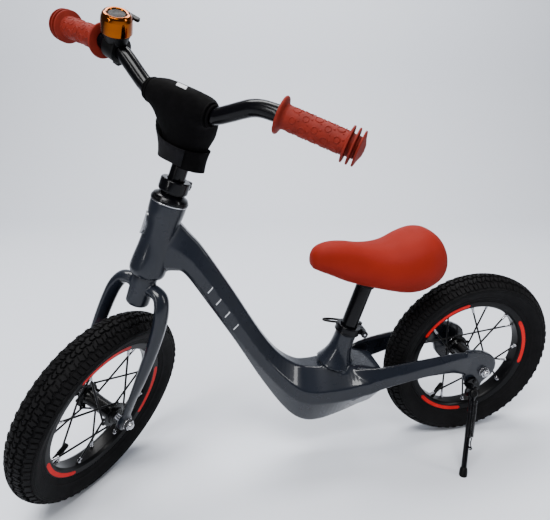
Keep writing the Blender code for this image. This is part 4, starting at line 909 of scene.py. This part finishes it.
def add_saddle_base():
    rings = []
    for x, edge, crown, half in rows_through(SADDLE, 3):
        if not 96 < x < 262:
            continue
        width = half * 0.6 - 0.6
        ring = [(width, edge + 2), (width, edge + 8), (width * 0.5, edge + 11),
                (-width * 0.5, edge + 11), (-width, edge + 8), (-width, edge + 2)]
        rings.append([Vector((x, y, z)) * MM for y, z in ring])
    pan = surface(rings)
    post_socket = [(13.1, 82), (14.8, 82), (15.4, 90), (15.4, 95), (13.1, 95)]
    post_socket = moved(lathe(post_socket, 48, radius=0.8), seat_tube_place())
    ribs = [moved(block((7, 2.4, 8), (18, 0, 92)), seat_tube_place() @ spun(60 * step + 30, "Z"))
            for step in range(6)]
    piece("saddle_pan", joined(pan, post_socket, *ribs), BIKE, "seat", PLASTIC, ["saddle_base"])
    post = lathe([(POST_RADIUS, -95), (POST_RADIUS, 87), (10.9, 87), (10.9, -95)], 64, radius=0.5)
    piece("seat_post_tube", moved(post, seat_tube_place()), BIKE, "seat", GLOSS, ["seat_post"])


def add_seat_clamp():
    place = seat_tube_place()
    ring = [(13.3, 0.6), (19.5, 0.6), (19.9, 2.2), (19.5, 3.4), (19.5, 10.4), (18.8, 12.5),
            (13.3, 12.5)]
    ears = block((11, 17, 10), (-23, 0, CLAMP_Z), edge=1.6)
    bm = solid(lathe(ring, 72, radius=0.6), [ears])
    cuts = [block((24, 2.4, 30), (CLAMP_X, 0, CLAMP_Z), edge=0.1),
            cross_rod(2.8, 20, 24, CLAMP_X, CLAMP_Z)]
    bm = solid(bm, cuts, "DIFFERENCE")
    piece("clamp_collar", moved(bm, place), BIKE, "frame", GLOSS, ["seat_clamp_collar"])
    line = place @ shift(CLAMP_X, 0, CLAMP_Z)
    piece("clamp_rod", moved(threaded(2.5, -16.8, 16, 0.8), line), BIKE, "frame", BRIGHT,
          ["seat_clamp_rod"])
    nut = [(5.5, 8.8), (5.5, 15.5), (4.5, 16.5), (2.8, 16.5), (2.8, 8.8)]
    nut = lathe(nut, 36, along="Y", radius=0.3)
    piece("clamp_thumb_nut", moved(nut, line), BIKE, "frame", GLOSS, ["seat_clamp_nut"])


def add_clamp_lever():
    """The looped wire lever of the seat clamp, turning with its cam boss about z."""
    place = seat_tube_place() @ shift(CLAMP_X, -15.5, CLAMP_Z)
    boss = rod(6.5, -6.5, 6.5, 48, edge=1.0)
    slot = [(2.9, 0), (2.9, 9), (-9, 9), (-9, -4.4), (0, -3.4), (2.4, -2.6)]
    room = layers([Vector((x, y, 0)) for x, y in slot], ((0, 0, -2.8), (0, 0, 2.8)))
    boss = solid(boss, [room], "DIFFERENCE")
    loop = []
    for step in range(72):
        angle = 2 * pi * step / 72
        along = 27.5 + 24.5 * cos(angle)
        apart = (2.2 + 4 * along / 52) * sin(angle)
        loop.append((along, -5.4 - 0.23 * along + apart, 2 - 0.2 * along))
    handle = sweep(loop, oval(1.9, sides=14), up=Vector((0, 0, 1)), loop=True)
    piece("clamp_lever_loop", moved(joined(boss, handle), place), BIKE, "seat_clamp_lever", GLOSS,
          ["seat_clamp_lever"])


# ---------------------------------------------------------------- kickstand

PIVOT = Vector((31, 75, 129))
FOOT = Vector((60.8, 129.7, 16.1))
COIL_TURNS = 26
COIL_LENGTH = 57
COIL_RADIUS = 3.9


def kickstand_place():
    """Z along the pivot bolt, x along the leg to its foot, in the bike frame."""
    leg = (FOOT - PIVOT).normalized()
    stowed = Vector((-1, 0.05, 0.05)).normalized()
    pivot = leg.cross(stowed).normalized()
    return axes_matrix(leg, pivot.cross(leg), pivot, PIVOT * MM)


def add_kickstand():
    place = kickstand_place()
    length = (FOOT - PIVOT).length
    lengthways = toward((1, 0, 0))
    eye = rod(8, -4.6, 4.6, 48, edge=0.8)
    arm = [(0, 6), (5.6, 6.2), (5.0, 11), (4.2, 16), (4.2, length - 8.5), (0, length - 8.5)]
    arm = moved(lathe(arm, 32, closed=False), lengthways)
    hook = moved(rod(1.6, 0, 9.5, 16), shift(84, 0, 0) @ toward((0, 0.35, 1)))
    leg = solid(eye, [arm, hook])
    leg = solid(leg, [rod(3.3, -6, 6)], "DIFFERENCE")
    piece("kickstand_leg_bar", moved(leg, place), BIKE, "kickstand", GLOSS, ["kickstand_leg"])
    coil = []
    for step in range(COIL_TURNS * 14 + 1):
        angle = 2 * pi * step / 14
        along = 11 + COIL_LENGTH * step / (COIL_TURNS * 14)
        coil.append((along, COIL_RADIUS * sin(angle), 8.9 + COIL_RADIUS * cos(angle)))
    tail = coil[-1]
    coil += [(tail[0] + 3, 0.6, tail[2] - 1.4), (tail[0] + 7, 1.5, 8.4), (80, 2.2, 8.2), (85.5, 4.8, 8.4),
             (87.2, 3.0, 8.4), (86.6, 1.0, 8.2)]
    spring = sweep(coil, oval(0.95, sides=8), up=Vector((0, 0.3, 1)))
    piece("kickstand_coil_spring", moved(spring, place), BIKE, "kickstand", GLOSS, ["kickstand_spring"])
    shoe = [(4.9, length - 12), (5.6, length - 10), (6.2, length - 6), (6.4, length + 12),
            (6, length + 14)]
    shoe = moved(turned(shoe, 40, radius=0.8), lengthways)
    shoe = solid(shoe, [moved(rod(4.5, 0, length - 8), lengthways)], "DIFFERENCE")
    shoe = moved(shoe, BIKE @ place)
    floor_cut = block((100, 100, 100), (FOOT.x - 282, 60, -49.9), edge=0.1)
    shoe = solid(shoe, [floor_cut], "DIFFERENCE")
    piece("kickstand_rubber_foot", shoe, Matrix.Identity(4), "kickstand", PLASTIC, ["kickstand_foot"])


def add_kickstand_mount():
    axis = kickstand_place()
    outline = ((8, 132), (4, 120), (14, 114), (26, 120), (34, 132), (26, 142), (14, 142))
    outline = soft_outline([Vector((x, 0, z)) for x, z in outline], 3.0, 3)
    flange = layers(outline, ((0, 52.3, 0), (0, 58, 0)))
    boss = moved(rod(8.5, -10, -5, 40, edge=0.6), axis)
    start = Vector((22, 56.5, 128))
    end = PIVOT - axis.to_3x3() @ Vector((0, 0, 9))
    arm = moved(rod(5.5, 0, (end - start).length - 1), shift(*start) @ toward(end - start))
    bm = solid(flange, [boss, arm])
    bm = solid(bm, [moved(rod(3.3, -12, 4), axis)], "DIFFERENCE")
    head = [(0, 0), (3.6, 0), (3.6, 1.6), (2.6, 2.6), (0, 2.8)]
    outwards = toward((0, 1, 0), Vector((1, 0, 0)))
    heads = [moved(lathe(head, 24, closed=False, radius=0.4), shift(x, 57.6, z) @ outwards)
             for x, z in ((13, 121), (17, 137))]
    piece("kickstand_bracket_plate", joined(bm, *heads), BIKE, "frame", GLOSS, ["kickstand_bracket"])
    bolt = turned([(3.0, -8.6), (3.0, 4.9), (6.0, 4.9), (6.0, 6.6), (4.5, 7.6), (2.6, 7.7),
                   (2.2, 6.6)], 40, radius=0.3)
    piece("kickstand_pivot_screw", moved(bolt, axis), BIKE, "frame", SATIN, ["kickstand_pivot_bolt"])


# ---------------------------------------------------------------- steering

BLADE_POWER = 1.75
FORK_VOXEL = 1.25
COLLAR_BOLT_X = -22.5
COLLAR_Z = 343
# Rows down the fork's left blade: x, y, z, half width across and front to back.
BLADE = (
    (0, 12, 197, 9, 10.5), (0, 24, 197, 9.3, 11.5), (0, 34, 192, 9.5, 12.5), (1, 41, 178, 9.5, 13),
    (1, 45, 158, 9, 13), (2, 47, 132, 8.5, 12.5), (4, 47.5, 100, 8, 11.5), (6, 47, 66, 6.6, 10.5),
    (8, 46, 34, 4.4, 9.5), (9.2, 45.8, 4, 3.6, 9),
)


def blade_section(across, deep, sides=40):
    """A rounded diamond, so that a soft edge runs down the outside of the blade."""
    points = []
    for k in range(sides):
        angle = 2 * pi * k / sides
        c, s = cos(angle), sin(angle)
        size = 1.0 / (abs(c) ** BLADE_POWER + abs(s) ** BLADE_POWER) ** (1 / BLADE_POWER)
        points.append((across * size * c, deep * size * s))
    return points


def add_fork():
    parts = [turned([(13, 168), (16, 171), (17, 205), (17, 214.4)], 48, radius=1.0)]
    rows = rows_through(BLADE, 4)
    for side in (1, -1):
        points = [(row[0], side * row[1], row[2]) for row in rows]
        parts.append(sweep(points, lambda index: blade_section(rows[index][3], rows[index][4]),
                           up=Vector((1, 0, 0))))
        low, high = sorted((side * 42, side * 50))
        parts.append(moved(rod(12, low, high, 56, along="Y", edge=0.8), shift(FORK_OFFSET, 0, 0)))
    skin = melted(joined(*parts), FORK_VOXEL, 4)
    skin = solid(skin, [cross_rod(AXLE_HOLE, 80, 24, FORK_OFFSET, 0)], "DIFFERENCE", "MANIFOLD")
    piece("fork_casting", skin, STEER, "steering", PAINT, ["fork"], sharp=50)
    steerer = lathe([(14.3, 206), (14.3, 345), (11.4, 345), (11.4, 222), (3, 206)], 64)
    piece("fork_steerer", steerer, STEER, "steering", GLOSS)


def add_steerer_parts():
    cap = [(14.6, 320.3), (24.3, 320.3), (24.7, 321.2), (24.6, 323.3), (23.9, 323.9), (23.9, 324.6),
           (23.4, 325.4), (22.2, 327.6), (18, 330), (16.5, 331.2), (14.6, 331.2)]
    piece("headset_dust_cap", lathe(cap, 96, radius=0.35), STEER, "steering", GLOSS, ["headset_top_cap"])
    ring = [(14.6, 334), (18.9, 334), (19.3, 336), (19.3, 348.6), (18.0, 350), (11.7, 350),
            (11.7, 345.3), (14.6, 345.3)]
    ring = solid(lathe(ring, 72, radius=0.7), [block((10, 18, 12), (-21.5, 0, COLLAR_Z), edge=1.6)])
    ring = solid(ring, [block((20, 2.4, 30), (-23, 0, COLLAR_Z), edge=0.1),
                        cross_rod(2.4, 20, 24, COLLAR_BOLT_X, COLLAR_Z)], "DIFFERENCE")
    piece("stem_collar", ring, STEER, "steering", GLOSS, ["steerer_clamp_collar"])
    bolt = turned([(4, -13), (4, -9.3), (2.1, -9.3), (2.1, 10.5)], 32, along="Y", radius=0.4)
    socket_hole = plate(oval(1.7, sides=6), -14, -11)
    bolt = solid(bolt, [socket_hole], "DIFFERENCE")
    piece("stem_collar_bolt", moved(bolt, shift(COLLAR_BOLT_X, 0, COLLAR_Z)), STEER, "steering", SATIN,
          ["steerer_clamp_bolt"])


# ---------------------------------------------------------------- handlebar

# The middle of the bar from its centre to the left end; the last stretch is straight.
BAR_HALF = ((40, 0, 443), (40, 30, 443), (40.3, 43, 444), (41.2, 54, 448), (42.6, 67, 455.5),
            (44, 80, 463.5), (45.2, 92, 470), (45.6, 105, 473.5), (45.2, 124, 474.8), (26.6, 210, 472.8))
BAR_X, BAR_Z = 40, 443
BAR_UP = Vector((1, 0, 0.01))
STEM_NECK_Z = 428
GRIP_RADIUS = 13.05


def bar_line():
    left = [Vector(row) for row in rows_through(BAR_HALF[:-1], 6)] + [Vector(BAR_HALF[-1])]
    return [Vector((p.x, -p.y, p.z)) for p in reversed(left[1:])] + left


def grip_place(side):
    start, end = (Vector((x, side * y, z)) for x, y, z in BAR_HALF[-2:])
    return shift(*start) @ toward(end - start, Vector((0, 0, 1)))


def stem_neck(radius, sides):
    """A rod from the stem up to the middle of the bar."""
    reach = Vector((BAR_X, 0, BAR_Z - STEM_NECK_Z))
    return moved(rod(radius, 0, reach.length, sides), shift(0, 0, STEM_NECK_Z) @ toward(reach))


def add_bar():
    tube = sweep(bar_line(), oval(9.7, sides=40), up=BAR_UP)
    piece("bar_tube", tube, STEER, "handlebar", GLOSS, ["handlebar"], sharp=60)
    post = turned([(11.1, 265), (11.1, 440)], radius=0.8)
    stem = solid(post, [stem_neck(10, 40), cross_rod(14.5, 16, 56, BAR_X, BAR_Z, edge=1.2)])
    stem = solid(stem, [cross_rod(10.3, 30, 48, BAR_X, BAR_Z)], "DIFFERENCE")
    piece("stem_post", stem, STEER, "handlebar", GLOSS, ["handlebar_stem"])


def on_grip(across, along, height, degrees, lift):
    """A point on the sleeve, from its place on an unrolled patch round (height, degrees)."""
    radius = GRIP_RADIUS + lift
    angle = radians(degrees) + across / GRIP_RADIUS
    return Vector((radius * cos(angle), radius * sin(angle), height + along)) * MM


def raised_ring(size, height, degrees):
    """A moulded ring that follows the round of the sleeve."""
    rings = [[on_grip((size + out) * c, (size + out) * s, height, degrees, lift)
              for out, lift in oval(0.85, sides=8)] for c, s in oval(1, sides=24)]
    return surface(rings, along=True)


def raised_dot(size, height, degrees):
    rings = []
    for reach, lift in ((size, -0.6), (size, 0.2), (size * 0.75, 0.65), (size * 0.3, 0.85)):
        rings.append([on_grip(x, y, height, degrees, lift) for x, y in oval(reach, sides=10)])
    return surface(rings)


def add_grips():
    end = 88
    sleeve = [(10.0, 0), (20.0, 0), (21.0, 1.4), (20.3, 3.2), (17.5, 4.4), (14.4, 5.4), (13.3, 8)]
    sleeve += [(13.2, end - 13), (20, end - 11.5), (20.2, end - 10.4), (20, end - 9.5), (12.5, end - 9),
               (12.5, end - 5.4), (20, end - 5), (20.2, end - 4), (20, end - 3), (12.5, end - 2.4),
               (12.5, end), (10.0, end)]
    for word, side in (("left", 1), ("right", -1)):
        parts = [lathe(sleeve, 72, radius=0.5, steps=2)]
        for row in range(5):
            height = 17 + 12.4 * row
            for k in range(6):
                degrees = 60 * k + 30 * (row % 2)
                parts.append(raised_ring(4.1 - 0.9 * ((row + k) % 2), height, degrees))
                parts.append(raised_dot(1.3, height + 6.2, degrees - 9))
                parts.append(raised_dot(0.9, height + 4.0, degrees + 24))
        piece(word + "_grip_sleeve", joined(*parts), STEER @ grip_place(side), "handlebar", GRIP,
              [word + "_grip"], sharp=50)
        plug = [(0, end - 18), (7.2, end - 18), (7.2, end + 0.3), (12.5, end + 0.3), (12.5, end + 1),
                (19.4, end + 1.5), (19.7, end + 2.4), (19.2, end + 3.4), (13, end + 5), (6, end + 7.6),
                (0, end + 8.2)]
        piece(word + "_grip_end", lathe(plug, 72, closed=False, radius=0.7, steps=3),
              STEER @ grip_place(side), "handlebar", GRIP, [word + "_end_plug"], sharp=50)


# Rows up the bar pad: z, forward, half width across, half depth.
PAD_SHAPE = (
    (374, 3, 24, 22), (386, 4, 26, 24), (402, 8, 31, 28), (418, 15, 38, 34), (434, 25, 43, 35),
    (448, 31, 44, 32), (458, 34, 42, 26), (463, 36, 34, 17),
)
PAD_POWER = 0.8
PAD_SHRINK = 1.5
SLEEVE_RADIUS = 14.0
SLEEVE_END = 45.5
SLEEVE_Z = 444.5


def pad_point(row, angle, grow, height):
    """A point round the pad, grow millimetres outside it."""
    c, s = cos(angle), sin(angle)
    return Vector((row[1] + (row[3] + grow) * copysign(abs(c) ** PAD_POWER, c),
                   (row[2] + grow) * copysign(abs(s) ** PAD_POWER, s), height)) * MM


def swollen(bm, voxel, pressure, cap):
    """Cloth simulation of a stuffed form.  No point moves by more than cap metres."""
    bm = melted(bm, voxel, 2)
    holder = scratch(bm)
    rest = np.array([v.co for v in holder.data.vertices], float)
    settings = holder.modifiers.new("cloth", "CLOTH").settings
    settings.use_pressure = True
    settings.uniform_pressure_force = pressure
    settings.effector_weights.gravity = 0
    settings.quality = 6
    settings.tension_stiffness = 25
    settings.compression_stiffness = 25
    settings.shear_stiffness = 12
    settings.bending_stiffness = 1.5
    scene = bpy.context.scene
    for step in range(1, 21):
        scene.frame_set(step)
    mesh = baked(holder)
    move = np.array([v.co for v in mesh.vertices], float) - rest
    size = np.linalg.norm(move, axis=1, keepdims=True)
    move *= np.minimum(1.0, cap / np.maximum(size, 1e-9))
    mesh.vertices.foreach_set("co", (rest + move).astype(np.float32).ravel())
    scene.frame_set(1)
    return as_bm(mesh)


def add_pad():
    rings = [[pad_point(row, 2 * pi * step / 48, -PAD_SHRINK, row[0]) for step in range(48)]
             for row in rows_through(PAD_SHAPE, 4)]
    half = [(0, SLEEVE_END), (SLEEVE_RADIUS - 0.5, SLEEVE_END), (17, 36), (20, 22)]
    tapered = [(r, -y) for r, y in half] + [(r, y) for r, y in reversed(half)]
    sleeve = moved(lathe(tapered, 40, closed=False, along="Y"), shift(BAR_X, 0, SLEEVE_Z))
    bm = refined(swollen(joined(surface(rings), sleeve), 4.0, 4.0, 0.004))
    path = [p for p in bar_line() if abs(p.y) < 100]
    bm = solid(bm, [rod(12.1, 360, 442, 40), cross_rod(16.5, 20, 40, BAR_X, BAR_Z),
                    sweep(path, oval(10.3, sides=28), up=BAR_UP), stem_neck(11, 32)], "DIFFERENCE")
    rows = [[Vector((50 + 4.5 * across, 2 + 7 * along + 2.5 * across, 520))
             for along in np.linspace(-1, 1, 9)] for across in (-1, -0.5, 0, 0.5, 1)]
    patch = laid_on(bm, rows, Vector((0, 0, -1)), lift=0.5)
    made = piece("bar_pad", bm, STEER, "handlebar", PAD, ["handlebar_pad"], sharp=60)
    piece("bar_pad_plain_patch", patch, STEER, "handlebar", PATCH, sharp=60)
    hems = []
    for side in (1, -1):
        for offset, grow in ((0.0, SLEEVE_RADIUS - 1.8), (4.2, SLEEVE_RADIUS - 0.1)):
            middle = Vector((BAR_X + 0.4, side * (SLEEVE_END + 0.6 - offset), SLEEVE_Z))
            ring = [middle + Vector((x, 0, z)) for x, z in oval(grow, sides=40)]
            hems.append(sweep(ring, oval(1.5, sides=10), loop=True))
    piece("bar_pad_hems", joined(*hems), STEER, "handlebar", PAD)


def strap_top(azimuth):
    """Height of the strap's upper edge: it dips at the front of the pad."""
    off = azimuth - 10
    return 394 + (13 * (off / 75) ** 2 if off < 0 else 5 * min(off / 100, 1.0) ** 2)


def strap_part(first, last, bottom, lift, flare):
    """A strip of webbing round part of the pad's foot, opening outwards below by flare."""
    rows = rows_through(PAD_SHAPE, 8)
    sections = []
    for azimuth in np.linspace(first, last, int((last - first) / 4) + 1):
        top = strap_top(azimuth)
        out = flare * exp(-((azimuth - 105) / 45) ** 2)
        inner, outer = [], []
        for share in (0.0, 0.04, 0.25, 0.5, 0.75, 0.96, 1.0):
            height = bottom + (top - bottom) * share
            spread = lift + out * (1 - share) ** 1.5
            thick = 1.7 if 0.0 < share < 1.0 else 1.2
            row = min(rows, key=lambda found: abs(found[0] - height))
            inner.append(pad_point(row, radians(azimuth), spread, height))
            outer.append(pad_point(row, radians(azimuth), spread + thick, height))
        sections.append(inner + list(reversed(outer)))
    return surface(sections)


def add_pad_strap():
    flap = strap_part(-125, 32, 373.0, 2.6, 0.0)
    piece("bar_pad_strap_flap", flap, STEER, "handlebar", FLAP, ["handlebar_pad_strap"], sharp=60)
    tail = strap_part(22, 240, 370.5, 0.9, 5.0)
    piece("bar_pad_strap_tail", tail, STEER, "handlebar", PAD, sharp=60)


# Where the striker stands round the bell, in degrees.
STRIKER_AT = 205


def bell_place():
    return shift(45.4, -104, 473.2) @ spun(-9, "X") @ spun(28, "Y")


def add_bell():
    place = STEER @ bell_place()
    band = turned([(14.8, -9), (15.5, -8.2), (15.5, 8.2), (14.8, 9)], radius=0.3)
    band = moved(band, spun(-90, "X"))
    deck = [(12, 6), (14.0, 12), (16.5, 18), (16.5, 21), (5, 22), (5, 34)]
    deck = turned(deck, radius=0.5)
    lug = moved(block((13, 7, 3), (19.5, 0, 18.1), edge=0.8), spun(STRIKER_AT, "Z"))
    ear = block((9, 10, 10), (-3, 0, -17), edge=1.5)
    base = solid(band, [deck, lug, ear])
    line = bell_place().inverted()
    path = [line @ (p * MM) / MM for p in bar_line() if p.y < -60]
    base = solid(base, [sweep(path, oval(10.0, sides=32), up=BAR_UP), rod(2.1, 24, 46, 20)],
                 "DIFFERENCE")
    piece("bell_clamp_base", base, place, "handlebar", PLASTIC, ["bell_base"], sharp=45)
    dome = [(18, 20), (18.2, 20.6), (18.15, 31), (17.8, 36), (16.5, 39.8), (14.8, 41.6), (12.8, 42.2),
            (11.0, 41.9), (10.0, 40.6), (9.4, 37.4), (8.4, 36.7), (2.2, 36.5), (2.2, 35), (10, 35.4),
            (11.4, 40.4), (13.2, 40.5), (15.6, 39), (16.8, 36), (16.8, 20)]
    dome = lathe(dome, 96, radius=0.3, steps=3)
    piece("bell_gold_dome", dome, place, "handlebar", GOLD, ["bell_dome"])
    cover = lathe([(0, 26), (1.8, 26), (1.8, 37.0), (9.2, 37.6), (9.9, 40.0), (9.6, 40.8), (8.2, 41.0),
                   (6.6, 40.6), (3.0, 40.2), (0, 40.1)], 64, closed=False, radius=0.3)
    piece("bell_centre_cover", cover, place, "handlebar", PLASTIC, ["bell_screw"])


def add_striker():
    place = STEER @ bell_place() @ spun(STRIKER_AT, "Z") @ shift(22, 0, 19.6)
    pin = rod(2.4, 0.3, 15.5, 28, edge=0.3)
    outline = ((-1.5, 3), (2.8, 2), (2.5, -4), (-1, -13), (-4, -21), (-9.5, -20), (-8.8, -16),
               (-4.2, -9), (-3, -1))
    outline = soft_outline([Vector((x, y, 0)) for x, y in outline], 1.4, 3)
    wedge = layers(outline, ((0, 0, 12), (0, 0, 15.5)))
    piece("bell_thumb_lever", solid(pin, [wedge]), place, "bell_striker", PLASTIC, ["bell_striker"],
          sharp=45)


# ---------------------------------------------------------------- floor, light and camera

STAGE_CURVE_STARTS = 1.8
STAGE_CURVE = 0.8


def add_stage():
    """Pale floor that curves up into a backdrop behind the bike, in metres."""
    line = [(-3.0, 0.0), (STAGE_CURVE_STARTS, 0.0)]
    for step in range(1, 13):
        angle = radians(90 * step / 12)
        line.append((STAGE_CURVE_STARTS + STAGE_CURVE * sin(angle), STAGE_CURVE * (1 - cos(angle))))
    line.append((STAGE_CURVE_STARTS + STAGE_CURVE, 3.4))
    back = BIKE.to_3x3() @ Vector((-0.23, -0.8876, 0))
    back.z = 0
    back.normalize()
    across = Vector((-back.y, back.x, 0))
    rows = [[back * along + across * wide + Vector((0, 0, height)) for wide in (-4, 4)]
            for along, height in line]
    mesh = as_mesh("studio_floor", surface(rows, around=False))
    mesh.polygons.foreach_set("use_smooth", [True] * len(mesh.polygons))
    floor = placed("studio_floor", mesh)
    mesh.materials.append(new_material("studio_floor", Base_Color=(0.63, 0.655, 0.71, 1), Roughness=0.8,
                                       Specular_IOR_Level=0.2)[0])


def area_light(name, place, target, size, power):
    lamp = bpy.data.lights.new(name, "AREA")
    lamp.shape = "RECTANGLE"
    lamp.size, lamp.size_y = size
    lamp.energy = power
    made = placed(name, lamp)
    made.location = place
    made.rotation_euler = (Vector(target) - Vector(place)).to_track_quat("-Z", "Y").to_euler()


# Name, place, aim, size in metres, power in watts.
LIGHTS = (
    ("key", (0.6, 1.25, 2.45), (0, 0, 0.2), (1.5, 0.9), 98),
    ("back_wash", (0.0, -0.9, 2.7), (0, -1.5, 0.4), (2.4, 1.0), 125),
    ("left_strip", (1.9, 1.3, 1.1), (0, 0, 0.3), (0.22, 1.5), 20),
    ("right_strip", (-1.9, 1.0, 1.2), (0, 0, 0.3), (0.22, 1.5), 18),
)


def add_lights():
    for row in LIGHTS:
        area_light(*row)
    world = bpy.data.worlds.new("studio")
    bpy.context.scene.world = world
    world.use_nodes = True
    set_inputs(world.node_tree.nodes["Background"], Color=(0.93, 0.95, 1.0, 1), Strength=0.16)


def add_camera():
    data = bpy.data.cameras.new("photo_view")
    data.sensor_width = 36
    data.lens = 34.306
    camera = placed("photo_view", data)
    right = Vector((-0.9703627, 0.2403904, 0.0246710))
    up = Vector((-0.0739948, -0.3927638, 0.9166577))
    away = Vector((0.2300456, 0.8876650, 0.3989109))
    spot = Vector((0.5140507, 0.6595802, 0.6500841))
    camera.matrix_world = BIKE @ axes_matrix(right, up, away, spot)
    bpy.context.scene.camera = camera


# ---------------------------------------------------------------- the bike

add_wheel("rear", REAR_WHEEL, REAR_TURN)
add_wheel("front", FRONT_WHEEL, FRONT_TURN)
add_axle_set("rear", REAR_WHEEL, 52, "frame")
add_axle_set("front", FRONT_WHEEL, 50, "steering")
for add in (add_frame, add_head_parts, add_saddle, add_saddle_base, add_seat_clamp, add_clamp_lever,
            add_kickstand, add_kickstand_mount, add_fork, add_steerer_parts, add_bar, add_grips,
            add_pad, add_pad_strap, add_bell, add_striker, add_stage, add_lights, add_camera):
    add()
